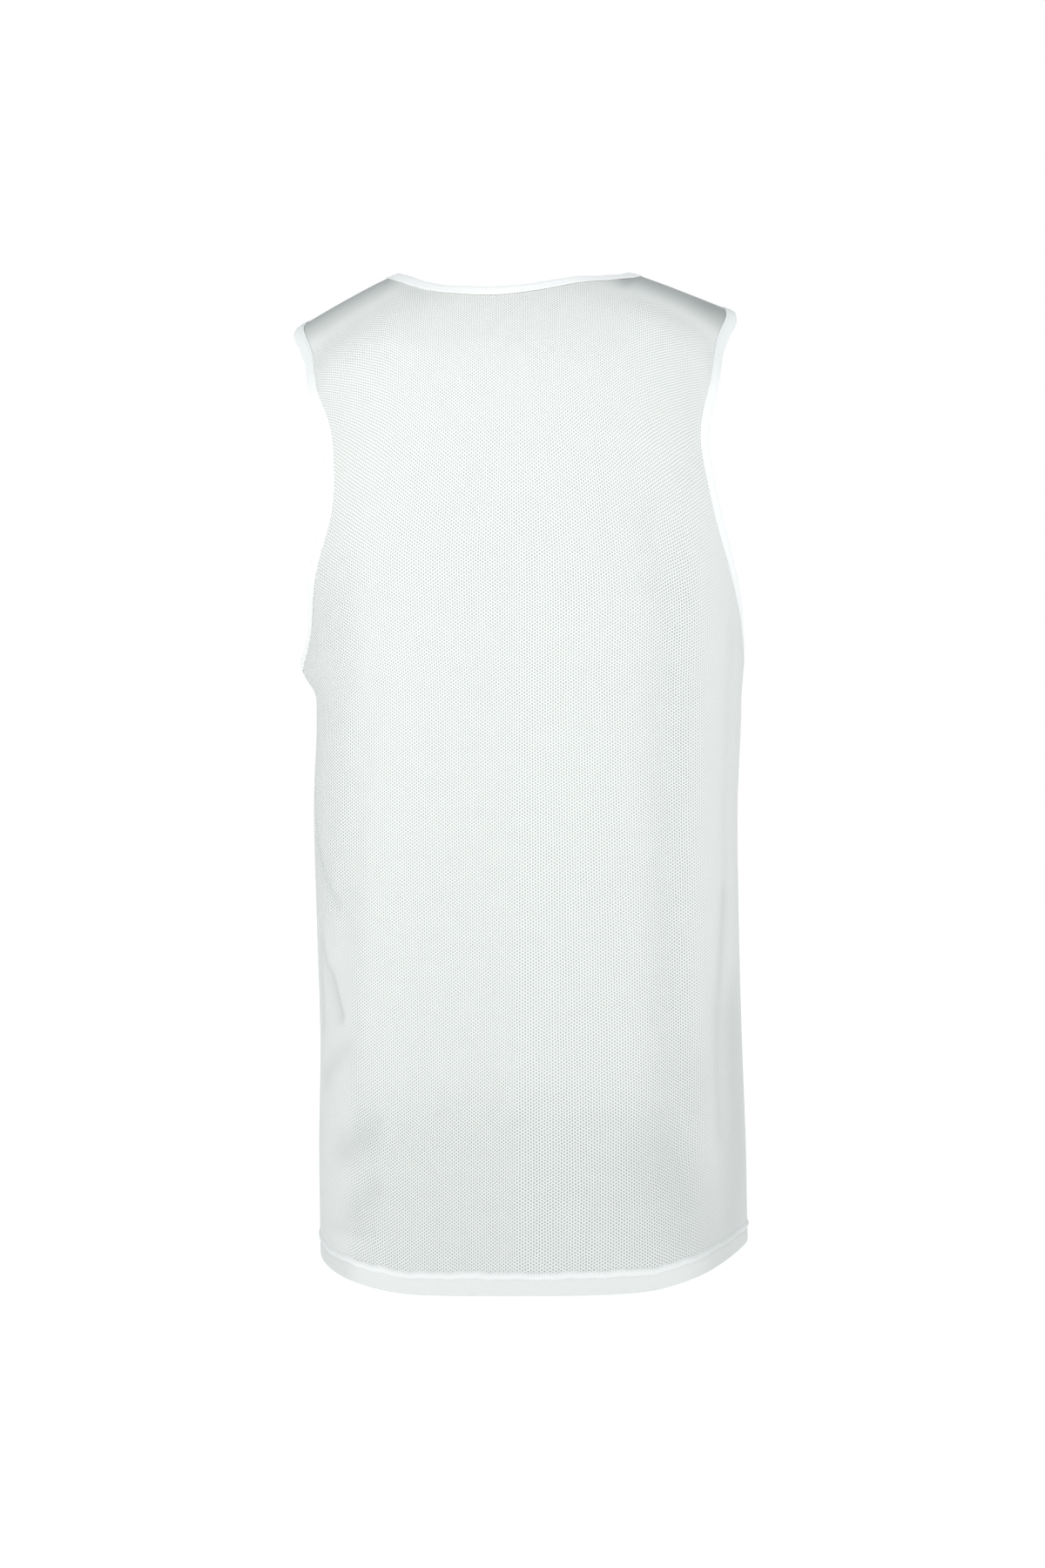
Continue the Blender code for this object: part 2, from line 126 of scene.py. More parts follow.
FRONT_SECTIONS = (
    Section("hem", 0, 174, -758, -155, 66, -756, 187, 70, -751, 90, 2.2, 2.2, 1, 1, 0),
    Section("skirt", 85, 173, -674, -156, 66, -673, 185, 70, -671, 90, 2.2, 2.2, 1, 1, 0),
    Section("seat", 170, 172, -589, -155, 66, -592, 182, 70, -592, 90, 2.2, 2.2, 1, 1, 0),
    Section("hip", 270, 170, -489, -158, 66, -492, 179, 68, -492, 90, 2.2, 2.2, 1, 1, 0),
    Section("waist", 365, 167, -395, -160, 65, -397, 178, 67, -397, 90, 2.2, 2.2, 1, 1, 0),
    Section("ribs", 430, 163, -331, -157.5, 62, -334, 180, 64, -334, 90, 2.2, 2.2, 1, 1, 0),
    Section("side nip", 450, 161, -309, -157, 59, -316, 180, 61, -316, 90, 2.2, 2.2, 1, 1, -1.5),
    Section("underarm", 474, 158, -287, -160, 55, -296, 181, 58, -296, 90, 2.2, 2.2, 1, 1, -9.5),
    Section("armpit", 505, 154, -256, -161, 52, -266, 180, 54, -266, 90, 2.2, 2.2, 0.83, 0.83, -4),
    Section("armhole low", 540, 147, -222, -170, 68, -234, 178, 70, -234, 78, 2.0, 2.0, 0.76, 0.76, 0),
    Section("armhole mid", 595, 133, -170, -163, 74, -186, 168, 76, -186, 66, 2.0, 2.0, 0.73, 0.73, 0),
    Section("armhole high", 650, 113, -121, -156, 70, -140, 160, 70, -138, 56, 2.0, 2.0, 0.76, 0.76, 0),
    Section("chest", 710, 86, -71, -154, 56, -96, 156, 56, -92, 44, 2.0, 2.0, 0.83, 0.83, 0),
    Section("collar", 760, 57, -33, -155, 38, -62, 156, 38, -54, 34, 2.0, 2.0, 0.91, 0.91, 0),
    Section("crest", 800, 32, -8, -160, 22, -41, 162, 22, -30, 24, 2.0, 2.0, 0.98, 0.98, 0),
    Section("seam", 845, 0, 4, -158, 6, -30, 161, 6, -19, 14, 2.0, 2.0, 1, 1, 0),
)

# A crease is a soft ridge (depth over 0) or trough from one place on the cloth to another.
# "across" is the share of the half panel, minus on the wearer's left, and "along" is metres
# up from the hem.  "bow" pushes its middle sideways, "width" is half its span and "depth"
# its height, all in metres.  "shade" is how much painted shade darkens its hollow, from 0 to 1.
Crease = namedtuple("Crease", "name across_0 along_0 across_1 along_1 bow width depth shade")
BACK_CREASES = (
    Crease("left drape", -0.585, 0.430, -0.720, 0.235, -0.005, 0.016, -0.0022, 0.0),
    Crease("left drape edge", -0.905, 0.365, -0.730, 0.285, 0.009, 0.0045, -0.0018, 0.7),
    Crease("left second fold", -0.865, 0.265, -0.735, 0.200, 0.003, 0.0045, -0.0022, 0.8),
    Crease("left second hollow", -0.790, 0.228, -0.735, 0.202, 0.000, 0.006, -0.0020, 1.0),
    Crease("left side streak", -0.880, 0.255, -0.870, 0.190, 0.000, 0.006, -0.0018, 0.6),
    Crease("left hook", -0.700, 0.178, -0.840, 0.152, 0.002, 0.009, -0.0018, 0.5),
    Crease("left hem hollow", -0.720, 0.102, -0.590, 0.119, 0.000, 0.013, -0.0040, 0.7),
    Crease("left hem drag", -0.680, 0.056, -0.570, 0.074, 0.000, 0.012, -0.0030, 0.45),
    Crease("left hem swell", -0.740, 0.031, -0.560, 0.037, 0.000, 0.007, 0.0025, 0.0),
    Crease("left cross drag", -0.480, 0.112, -0.090, 0.166, -0.004, 0.014, -0.0024, 0.0),
    Crease("right long wave", 0.500, 0.560, 0.520, 0.110, 0.000, 0.020, -0.0045, 0.0),
    Crease("right side turn", 0.800, 0.500, 0.785, 0.300, 0.000, 0.008, -0.0010, 0.15),
    Crease("right side fold", 0.780, 0.290, 0.735, 0.110, 0.006, 0.008, -0.0025, 0.7),
    Crease("right edge turn", 0.800, 0.190, 0.800, 0.030, 0.000, 0.030, -0.0020, 0.95),
    Crease("right skirt hollow", 0.620, 0.155, 0.600, 0.095, 0.000, 0.024, -0.0022, 0.5),
    Crease("right hem hollow", 0.520, 0.085, 0.760, 0.010, 0.004, 0.042, -0.0060, 0.75),
    Crease("neck point dimple", 0.520, 0.798, 0.500, 0.780, 0.000, 0.009, -0.0008, 0.9),
    Crease("yoke swell", -0.160, 0.778, 0.240, 0.778, 0.000, 0.030, 0.0045, 0.0),
    Crease("left shoulder swell", -0.820, 0.716, -0.600, 0.710, 0.000, 0.030, 0.0045, 0.0),
    Crease("left shoulder hollow", -0.860, 0.780, -0.620, 0.778, 0.000, 0.016, -0.0010, 0.0),
    Crease("right shoulder swell", 0.640, 0.732, 0.820, 0.734, 0.000, 0.027, 0.0040, 0.0),
    Crease("right shoulder hollow", 0.600, 0.790, 0.840, 0.796, 0.000, 0.017, -0.0010, 0.15),
)
FRONT_CREASES = (
    Crease("right drape", 0.600, 0.440, 0.740, 0.250, 0.004, 0.017, -0.0050, 0.0),
    Crease("right drape edge", 0.900, 0.340, 0.740, 0.270, -0.007, 0.0055, -0.0018, 0.6),
    Crease("right hem hollow", 0.750, 0.120, 0.480, 0.090, 0.000, 0.014, -0.0045, 0.8),
    Crease("left long wave", -0.520, 0.500, -0.580, 0.080, 0.003, 0.021, -0.0048, 0.0),
    Crease("left side fold", -0.890, 0.330, -0.850, 0.130, -0.004, 0.009, -0.0032, 0.7),
    Crease("left hem hollow", -0.640, 0.100, -0.800, 0.030, 0.000, 0.024, -0.0050, 0.5),
    Crease("middle swell", 0.080, 0.300, 0.020, 0.020, 0.000, 0.026, 0.0034, 0.0),
)

# ---------------------------------------------------------------- sewing
HEM_AIR = 0.0003          # between the hem's two layers
ROWS_TURNED = 8           # rows up the hem's turned-up layer
ROWS_FOLD = 5             # rows round the hem's fold
HEM_NARROWING = 0.003     # height over which the side edges draw together at the hem's fold
SEAM_SPACE = 0.0009       # from a seam to where each panel starts to turn in
HEM_SEAM_SPACE = 0.0001   # the same at the hem's fold, where nothing is turned in
NEEDLE_ROWS = (0.0110, 0.0168)  # the cover stitch's two rows, up from the hem's fold
NEEDLE_ROOM = 0.0015      # how softly the eyelets open above the hem
RIDGE_ALONG = 0.0141      # the ridge that the cover stitch draws up between its rows
RIDGE_HEIGHT = 0.0011
RIDGE_WIDTH = 0.0018
GROOVE_DEPTH = 0.0007
GROOVE_WIDTH = 0.0009
GROOVE_SHADE = 0.95       # painted shade in the lower groove
BAND_SHADE = 0.55         # and the doubled cloth below it
FOLD_SHADE = 0.6          # and the hem's fold
FOLD_SHADE_WIDTH = 0.001
PACKED_HIGHLIGHT_EASE = 0.0008      # how softly the ridge's packed yarn and painted highlight begin and end
HEM_DRIFT = 0.0012        # how far the rows stray up and down
HEM_WAVES = (0.019, 0.043, 0.11)  # lengths of that straying
HEM_PHASE = 37.0          # radians of phase for each metre of those lengths
HEM_PUCKER = 0.18         # how unevenly the ridge stands up
HEM_PUCKER_LENGTH = 0.0085

BAND_START = 0.0008       # from the cloth's cut edge to the binding's finished width
TAPE_SPACING = 0.0022     # between a tape's cross-sections
TAPE_HALF = 0.00072       # from the cloth's middle to the middle of each leaf
NECK_GRIP = 0.0030        # how far the neck binding's leaves lap over the cloth
ARMHOLE_GRIP = 0.0009     # and those of the armhole bindings
TAPE_BULGE = 0.00035      # how far they stand up between their edge and the fold
TAPE_BULGE_BEND = 0.7     # the lower, the more squarely they do
TAPE_LEAF_POINTS = 12
TAPE_TURN_POINTS = 4
TAPE_NEEDLE = 0.0009      # the stitch row, off the cloth's cut edge
NEEDLE_SINK = 0.0003
NEEDLE_SINK_WIDTH = 0.0006
TAPE_RIPPLE = 0.00022     # how far the outer fold wavers
RIPPLES = 23              # waves round one opening
RIPPLES_FINE = 61
RIPPLE_FINE_SHARE = 0.6
RIPPLE_FINE_PHASE = 1.0
LOOP_SMOOTHING = 20       # rounds of smoothing on the way a binding faces

STITCH_SHAPE = np.array(  # share of the stitch's length, and metres over the cloth
    ((0.0, -0.0003), (0.1, 0.0001), (0.5, 0.0002), (0.9, 0.0001), (1.0, -0.0003))
)
ROW_INSET = 0.0015        # from the side seam to the first stitch of the hem
ROW_POINTS = 300
OVERLOCK_PITCH = 0.0025   # one turn of the thread that wraps the seams' raw edges
OVERLOCK_MIDDLE = 0.0052  # its middle, back from the seam
OVERLOCK_REACH = 0.0018   # and how far it swings to each side of it
OVERLOCK_DEPTH = 0.00175
OVERLOCK_RISE = 0.0012
COIL_POINTS = 8
SIDE_COIL = (HEM_TURN + 0.002, UNDERARM - 0.003)  # its ends, up a side seam,
SHOULDER_COIL = (NECK_SHARE * 1.01, 0.98)  # and across a shoulder seam
SHOULDER_LENGTH = 0.10    # of each shoulder seam, near enough to space its overlock
WELD = 0.000002           # patches share vertices that lie this close
SOFT_ANGLE = math.radians(50)

# ---------------------------------------------------------------- surfaces
SWAY_SCALE = 45.0         # the widest waves a metre in the knit's unevenness
SWAY_DETAIL = 4.0
SWAY_ROUGHNESS = 0.7
SWAY = 0.0020             # how far it moves the eyelets
EYELET_SOFT = 0.6         # share of an eyelet's width over which its rim shades off
EYELET_SINK = 0.0003      # how deep its rim draws in
EYELET_RELIEF = 0.5       # how much of that depth the light shows
PATCH_SCALE = 60.0        # waves a metre in how dark the eyelets are
PATCH_DEPTH = 0.10
PATCH_RANGE = (0.3, 0.7)  # the noise's values from the palest eyelets to the darkest
SEE_THROUGH_SHADE = 0.012         # painted shade for the dim inside seen through the yarn
HOLLOW_SHADE = 0.20          # and painted shade in the hollow of a fold
BACKED_EYELET = 0.07      # how much of an eyelet shows where the hem's turn lies behind it

# Where the cloth looks different.  Each pair is a place where that begins and one where it
# is in full, in metres: across the vest, or up it, or for the turned shoulders up the cloth.
CLOSE_LEFT = (-0.130, -0.104)     # it fits close, and less painted shade of its inside shows
CLOSE_RIGHT = (0.118, 0.086)
CLOSE_LOW = (-0.645, -0.590)
CLOSE_HIGH = (-0.270, -0.170)     # above this right out to its sides
CLOSE_EYELET = 0.82               # how much of an eyelet shows there
SHUT_LEFT = (-0.116, -0.130)      # it hangs slack, which draws its eyelets shut, and painted shade greys it
SHUT_LEFT_BELOW = (-0.47, -0.53)
SHUT_RIGHT = (0.122, 0.156)
SHUT_EYELET = 0.30
SIDE_SHADE = 0.17                  # how much painted shade greys the yarn there
TURNED_LEFT = (-0.070, -0.095)    # it turns over the shoulders
TURNED_RIGHT = (0.045, 0.075)
TURNED_FLAT = (0.748, 0.778)      # so that its eyelets are seen too flat to show
# painted shade over the shoulder tops rises up the cloth here and clears past the shoulder line
SHOULDER_SHADE_RISE = (0.750, 0.806)
SHOULDER_SHADE_END = (0.838, 0.812)
TURNED_EYELET = 0.12
SHOULDER_SHADE = 0.80
# painted shade greys the armhole bindings
OUT_LEFT = (-0.100, -0.130)       # the bindings run out from the neck to the armholes
OUT_RIGHT = (0.100, 0.130)
SHOULDER_POINTS = (-0.115, -0.070)  # and up to where the shoulder points turn over
ARMHOLE_SHADE = 0.50               # how much painted shade greys them below those points

RIB_SPACING = 0.001       # fine ribs across the tape
RIB_HEIGHT = 0.00008
RIB_WAVER = 0.4
RIB_RELIEF = 0.4
WAVE_NODE_TURNS = 20.0 / math.tau   # bands that a wave texture of scale 1 draws in a metre
CLOTH_GLOSS = 0.25        # matt yarn reflects about half as much as a smooth surface

KEY_LIGHT = (-0.25, -1.66, 0.52)
SIDE_LIGHT = (1.9, 0.1, 0.45)
FILL_LIGHT = (-1.9, -0.2, -0.15)
LIGHTS_AIM = (0.02, 0.0, -0.33)
LIGHT_SIZE = 0.8          # each side of a softbox
LIGHT_SPREAD = math.radians(60)
BRIGHT_TO = 0.50          # sine of the height over the horizon to which the room is bright
DIM_FROM = 0.60           # and of the height from which it is dim
FLOOR_RADIUS = 12.0
FLOOR_ROUGHNESS = 0.9

# ---------------------------------------------------------------- the surface
def curve_through(knots, values, at):
    """Smooth curve through a table's column, read at the given places."""
    knots = np.asarray(knots, float)
    values = np.asarray(values, float)
    slopes = np.gradient(values, knots)
    index = np.clip(np.searchsorted(knots, at, side="right") - 1, 0, len(knots) - 2)
    step = np.diff(knots)[index]
    t = (at - knots[index]) / step
    return (
        (2 * t**3 - 3 * t**2 + 1) * values[index]
        + (t**3 - 2 * t**2 + t) * step * slopes[index]
        + (3 * t**2 - 2 * t**3) * values[index + 1]
        + (t**3 - t**2) * step * slopes[index + 1]
    )


def ease(x):
    """Smooth step from 0 to 1."""
    x = np.clip(x, 0.0, 1.0)
    return x * x * (3.0 - 2.0 * x)


def eased(values, limits):
    """0 up to the first limit, eased to 1 by the second, whichever of them is lower."""
    first, second = limits
    return ease((values - first) / (second - first))


def unit(vectors):
    """The same directions, one metre long."""
    return vectors / np.linalg.norm(vectors, axis=-1, keepdims=True)


def section_shares(share, turn, flat):
    """How far out and how far round a section has come at each share of its length."""
    steps = np.linspace(0.0, 1.0, SECTION_STEPS + 1)
    angle = turn[..., None] * steps ** flat[..., None]
    place = np.minimum(share, 1.0) * SECTION_STEPS
    low = np.minimum(place.astype(int), SECTION_STEPS - 1)[..., None]
    part = place - low[..., 0]
    shares = []
    for slope in (np.cos(angle), np.sin(angle)):
        total = np.cumsum(slope, axis=-1) - slope[..., :1]
        before = np.take_along_axis(total, low, -1)[..., 0]
        after = np.take_along_axis(total, low + 1, -1)[..., 0]
        shares.append((before * (1 - part) + after * part) / total[..., -1])
    return shares


def shoulder_fall(out):
    """Share of a section's fall reached at a share of its half width."""

    def ramp(x):
        return x + np.sqrt(x * x + SHOULDER_SOFT**2)

    start = ramp(-SHOULDER_BREAK)
    return (ramp(out - SHOULDER_BREAK) - start) / (ramp(1.0 - SHOULDER_BREAK) - start)


def unfolded(panel, across, along):
    """Points of a panel before its creases, at shares across and metres along.

    One row of the other panel, past the shoulder seam, carries the cloth over the
    shoulder without a ridge."""
    rows = (*panel.sections, panel.beyond)
    knots = [row.along * MM for row in rows]
    knots[-1] = 2 * SEAM_ALONG - knots[-1]

    def column(name):
        return curve_through(knots, [getattr(row, name) for row in rows], along)

    def side(name):
        return np.where(across < 0.0, column("left_" + name), column("right_" + name))

    out, around = section_shares(np.abs(across), np.radians(column("turn")), side("flat"))
    wing = np.where(across < 0.0, column("wing"), 0.0)
    centre_y = column("centre_y")
    centre_z = column("centre_z")
    x = side("x") * out + wing * around**WING_REACH
    y = centre_y + (side("y") - centre_y) * around
    z = centre_z + (side("z") - centre_z) * shoulder_fall(out)
    return np.stack((x, y, z), axis=-1) * MM


def normals(panel, across, along):
    """Outward unit normals of the panel before its creases."""
    left = np.clip(across - PROBE, -1.0, 1.0 - 2 * PROBE)
    low = np.clip(along - PROBE, 0.0, SEAM_ALONG - 2 * PROBE)
    sideways = unfolded(panel, left + 2 * PROBE, along) - unfolded(panel, left, along)
    upwards = unfolded(panel, across, low + 2 * PROBE) - unfolded(panel, across, low)
    return unit(np.cross(sideways, upwards) * panel.facing)


def creased(creases, across, along):
    """Height of all creases over the smooth panel, and the painted shade of their hollows.

    Both die out at the panel's sides, the height more softly."""
    height = np.zeros_like(across)
    shade = np.zeros_like(across)
    for crease in creases:
        start = np.array((crease.across_0 * HALF_PANEL, crease.along_0))
        run = np.array((crease.across_1 * HALF_PANEL, crease.along_1)) - start
        length = np.hypot(*run)
        run /= length
        x = across * HALF_PANEL - start[0]
        y = along - start[1]
        forward = x * run[0] + y * run[1]
        share = np.clip(forward / length, 0.0, 1.0)
        sideways = x * run[1] - y * run[0] - crease.bow * 4.0 * share * (1.0 - share)
        ends = ease(np.minimum(forward, length - forward) / (2.0 * crease.width) + 1.0)
        form = ends * np.exp(-((sideways / crease.width) ** 2))
        height += crease.depth * form
        shade = np.maximum(shade, crease.shade * form)
    reach = 1.0 - np.abs(across)
    return height * ease(reach / EDGE_FADE), shade * ease(reach / SHADE_FADE)


def hem_drift(across):
    """How far the hem's stitching strays from its level, in metres."""
    place = across * HALF_PANEL
    waves = [np.sin(place * math.tau / wave + wave * HEM_PHASE) for wave in HEM_WAVES]
    return HEM_DRIFT * np.mean(waves, axis=0)


def stitched_along(across, along):
    """How far up the cloth a place is, counted so that the hem's rows are level."""
    near = ease(along / HEM_TURN) * ease(2.0 - along / HEM_TURN)
    return along - hem_drift(across) * near


def hem_height(across, along):
    """The hem's stitched ridge, and the grooves that its two needle rows pull in."""
    pucker = 1.0 + HEM_PUCKER * np.sin(across * HALF_PANEL * math.tau / HEM_PUCKER_LENGTH)
    height = along - hem_drift(across)
    ridge = RIDGE_HEIGHT * pucker * np.exp(-(((height - RIDGE_ALONG) / RIDGE_WIDTH) ** 2))
    for needle in NEEDLE_ROWS:
        ridge = ridge - GROOVE_DEPTH * np.exp(-(((height - needle) / GROOVE_WIDTH) ** 2))
    return ridge


def hem_shade(level):
    """Painted shade in the hem's lower groove, below it and at its fold, at heights from the fold."""
    groove = GROOVE_SHADE * np.exp(-(((level - NEEDLE_ROWS[0]) / GROOVE_WIDTH) ** 2))
    fold = FOLD_SHADE * np.exp(-((level / FOLD_SHADE_WIDTH) ** 2))
    return np.maximum(np.maximum(groove, fold), BAND_SHADE * (level < NEEDLE_ROWS[0]))


def cloth(panel, across, along, lift=0.0):
    """Points of a panel, creases and all, moved out by lift."""
    height = creased(panel.creases, across, along)[0] + lift
    return unfolded(panel, across, along) + normals(panel, across, along) * height[..., None]


# ---------------------------------------------------------------- the cut
def back_neckline(share):
    """Drop of the back neckline at a share of the neck's half width."""
    left = share < BACK_NECK_LOW
    reach = (share - BACK_NECK_LOW) / (np.where(left, -1.0, 1.0) - BACK_NECK_LOW)
    bend = np.where(left, BACK_NECK_LEFT, BACK_NECK_RIGHT)
    return BACK_NECK_DROP * (1.0 - np.minimum(reach, 1.0) ** bend) ** BACK_NECK_RIM


def front_neckline(share):
    """Drop of the front neckline at a share of the neck's half width."""
    return FRONT_NECK_DROP * (1.0 - np.abs(share) ** FRONT_NECK_BEND) ** FRONT_NECK_RIM


Panel = namedtuple("Panel", "name facing sections beyond creases neckline")
BACK = Panel("back_panel", 1.0, BACK_SECTIONS, FRONT_SECTIONS[-2], BACK_CREASES, back_neckline)
FRONT = Panel(
    "front_panel", -1.0, FRONT_SECTIONS, BACK_SECTIONS[-2], FRONT_CREASES, front_neckline
)


def top_edge(panel, share):
    """How far up the cloth the panel reaches in each of its columns."""
    return SEAM_ALONG - panel.neckline(np.clip(share / NECK_SHARE, -1.0, 1.0))


def column_shares():
    """Shares of the panel's own width at which its columns lie, neck ends among them."""
    left = np.linspace(-1.0, -NECK_SHARE, COLUMNS_SHOULDER + 1)
    middle = NECK_SHARE * np.sin(np.linspace(-1.0, 1.0, COLUMNS_NECK + 1) * math.pi / 2)
    return np.concatenate((left, middle[1:-1], -left[::-1]))


def cut_back(panel, share, along):
    """Shares across at which a share of the panel's own width lies, armholes cut away.

    The cut is read by the square root of the height over the underarm, which makes the
    armhole's foot round."""
    rows = [row for row in panel.sections if row.along * MM >= UNDERARM]
    knots = np.sqrt([row.along * MM - UNDERARM for row in rows])
    rise = np.sqrt(np.maximum(along - UNDERARM, 0.0))
    left = curve_through(knots, [row.left_cut for row in rows], rise)
    right = curve_through(knots, [row.right_cut for row in rows], rise)
    return share * np.minimum(np.where(share < 0.0, left, right), 1.0)


def yoke_rise():
    """Rows from the underarm to the top edge, close together round the armhole's foot."""
    sweep = 1.0 - np.cos(np.linspace(0.0, FOOT_CROWDING * math.pi, ROWS_YOKE + 1))
    return sweep / sweep[-1]


def seam_scale(panel, across):
    """Table metres for each metre of cloth beside the shoulder seam."""
    top = np.full_like(across, SEAM_ALONG)
    step = unfolded(panel, across, top) - unfolded(panel, across, top - MM)
    return MM / np.linalg.norm(step, axis=-1)


def skirt_heights():
    """Heights of the rows from the hem's fold to the underarm, fine over the hem."""
    hem = np.linspace(0.0, HEM_ZONE, ROWS_HEM + 1)
    return np.concatenate((hem, np.linspace(HEM_ZONE, UNDERARM, ROWS_SKIRT + 1)[1:]))


def panel_grid(panel):
    """Shares across and metres along of a panel's vertices, hem row first, seams clear."""
    share = column_shares()
    top = top_edge(panel, share)
    rows = [np.full_like(share, height) for height in skirt_heights()]
    rows += [UNDERARM + (top - UNDERARM) * rise for rise in yoke_rise()[1:]]
    along = np.array(rows)
    across = cut_back(panel, np.broadcast_to(share, along.shape), along)
    open_up = ease(along / HEM_NARROWING)
    inset = (HEM_SEAM_SPACE + (SEAM_SPACE - HEM_SEAM_SPACE) * open_up) / HALF_PANEL
    across = np.clip(across, inset - 1.0, 1.0 - inset)
    trim = SEAM_SPACE * seam_scale(panel, across[-1])
    along[-1] = np.minimum(along[-1], SEAM_ALONG - trim)
    return across, along


def edge_run(panel, across, along, inside_across, inside_along):
    """Points, outward normals and directions off the cloth along one edge of a panel.

    The last two values lead from the edge to a place inside the cloth."""
    points = cloth(panel, across, along)
    inside = cloth(panel, across + inside_across, along + inside_along)
    normal = normals(panel, across, along)
    off = unit(np.cross(np.gradient(points, axis=0), normal))
    return points, normal, off * np.sign(np.sum(off * (points - inside), axis=-1, keepdims=True))


def opening_loop(back, front):
    """Join a back and a front edge run into the loop round an opening.

    The runs meet at their ends, where the loop takes the mean of the two."""
    joined = []
    for ahead, returning in zip(back, front):
        returning = returning[::-1]
        start = (ahead[0] + returning[-1]) / 2
        middle = (ahead[-1] + returning[0]) / 2
        joined.append(np.concatenate((start[None], ahead[1:-1], middle[None], returning[1:-1])))
    points, normal, off = joined
    for _ in range(LOOP_SMOOTHING):
        normal, off = (
            (np.roll(line, 1, axis=0) + 2 * line + np.roll(line, -1, axis=0)) / 4
            for line in (normal, off)
        )
    normal = unit(normal)
    return points, normal, unit(off - normal * np.sum(off * normal, axis=-1, keepdims=True))


def armhole_loop(side):
    """The loop round one armhole: up the back edge and down the front edge."""
    along = UNDERARM + (SEAM_ALONG - UNDERARM) * yoke_rise()
    share = np.full_like(along, side)
    runs = []
    for panel in (BACK, FRONT):
        across = cut_back(panel, share, along)
        runs.append(edge_run(panel, across, along, -ARMHOLE_INWARD * side, -PROBE))
    return opening_loop(*runs)


def neck_loop():
    """The loop round the neck: across the back and back across the front."""
    share = column_shares()[COLUMNS_SHOULDER : COLUMNS_SHOULDER + COLUMNS_NECK + 1]
    runs = []
    for panel in (BACK, FRONT):
        along = top_edge(panel, share)
        across = cut_back(panel, share, along)
        runs.append(edge_run(panel, across, along, NECK_OUTWARD * share, -PROBE))
    return opening_loop(*runs)


# ---------------------------------------------------------------- meshes
CLOTH_MAP = "cloth"       # a UV map in metres of the flat cloth, across and along
OPEN_MAP = "openness"     # vertex attributes, from 0 to 1: how much of the eyelets shows,
PAINTED_SHADE_MAP = "painted_shade"         # how much painted shade greys the yarn between them,
PACKED_HIGHLIGHT_MAP = "packed_highlight"     # how tightly stitches pack it, with a painted highlight,
TAPE_SHADE_MAP = "tape_shade"     # and how much painted shade greys a binding


def grid_patch(points, places):
    """Vertices, faces and flat places of one patch of cloth laid out in rows."""
    rows, columns = points.shape[:2]
    index = np.arange(rows * columns).reshape(rows, columns)
    corners = (index[:-1, :-1], index[:-1, 1:], index[1:, 1:], index[1:, :-1])
    faces = np.stack([corner.ravel() for corner in corners], axis=-1)
    return points.reshape(-1, 3), faces, places.reshape(-1, 2)


def cloth_mesh(name, patches):
    """An object at the origin from patches, with its flat places in its UV map."""
    points, faces, places, count = [], [], [], 0
    for patch_points, patch_faces, patch_places in patches:
        points.append(patch_points)
        faces.append(patch_faces + count)
        places.append(patch_places)
        count += len(patch_points)
    points, faces, places = (np.concatenate(part) for part in (points, faces, places))
    mesh = bpy.data.meshes.new(name)
    mesh.from_pydata(points.tolist(), [], faces.tolist())
    layer = mesh.uv_layers.new(name=CLOTH_MAP)
    layer.uv.foreach_set("vector", places[faces.ravel()].astype(np.float32).ravel())
    piece = bpy.data.objects.new(name, mesh)
    bpy.context.scene.collection.objects.link(piece)
    return piece


def add_shares(piece, shares):
    """Give a piece's vertices the shares that its material reads, one map for each name."""
    for name, values in shares.items():
        layer = piece.data.attributes.new(name, "FLOAT", "POINT")
        layer.data.foreach_set("value", values.astype(np.float32))


def make_active(piece):
    """Select only this piece, so that operators act on it alone."""
    bpy.ops.object.select_all(action="DESELECT")
    piece.select_set(True)
    bpy.context.view_layer.objects.active = piece


def weld(piece):
    """Merge the vertices that patches share."""
    make_active(piece)
    bpy.ops.object.mode_set(mode="EDIT")
    bpy.ops.mesh.select_all(action="SELECT")
    bpy.ops.mesh.remove_doubles(threshold=WELD)
    bpy.ops.object.mode_set(mode="OBJECT")


def thicken(piece, wall):
    """Give a sheet its wall, half to each side, and round its shading."""
    make_active(piece)
    solid = piece.modifiers.new("wall", "SOLIDIFY")
    solid.thickness = wall
    solid.offset = 0.0
    bpy.ops.object.modifier_apply(modifier=solid.name)
    bpy.ops.object.shade_smooth_by_angle(angle=SOFT_ANGLE)


def shared_material(name, recipe, settings):
    """The material of this name, made by its recipe the first time and then shared."""
    return bpy.data.materials.get(name) or recipe(name, settings)


def finish_piece(piece, material, slot, *nodes):
    """Dress a piece, hang it on the body and say which solids it stands for."""
    piece.data.materials.clear()
    piece.data.materials.append(material)
    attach(piece, BODY)
    if nodes:
        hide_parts(*nodes)


# ---------------------------------------------------------------- materials
def linear(hex_colour):
    """A linear colour with alpha 1 from an sRGB hex value such as "F2F5F4"."""
    channels = [int(hex_colour[i : i + 2], 16) / 255 for i in (0, 2, 4)]
    return (*(c / 12.92 if c <= 0.04045 else ((c + 0.055) / 1.055) ** 2.4 for c in channels), 1.0)


def add_node(tree, kind, inputs=(), **settings):
    """Add a node with its settings; each input takes a value or another node's output."""
    made = tree.nodes.new(kind)
    for name, value in settings.items():
        setattr(made, name, value)
    for socket, value in inputs:
        if isinstance(value, bpy.types.NodeSocket):
            tree.links.new(value, made.inputs[socket])
        else:
            made.inputs[socket].default_value = value
    return made


def new_material(name, colour, roughness):
    """A material with its tree and its shader, set to what is the same all over it."""
    material = bpy.data.materials.new(name)
    material.use_nodes = True
    material.diffuse_color = colour
    tree = material.node_tree
    shader = tree.nodes["Principled BSDF"]
    shader.inputs["Base Color"].default_value = colour
    shader.inputs["Roughness"].default_value = roughness
    shader.inputs["Specular IOR Level"].default_value = CLOTH_GLOSS
    return material, tree, shader


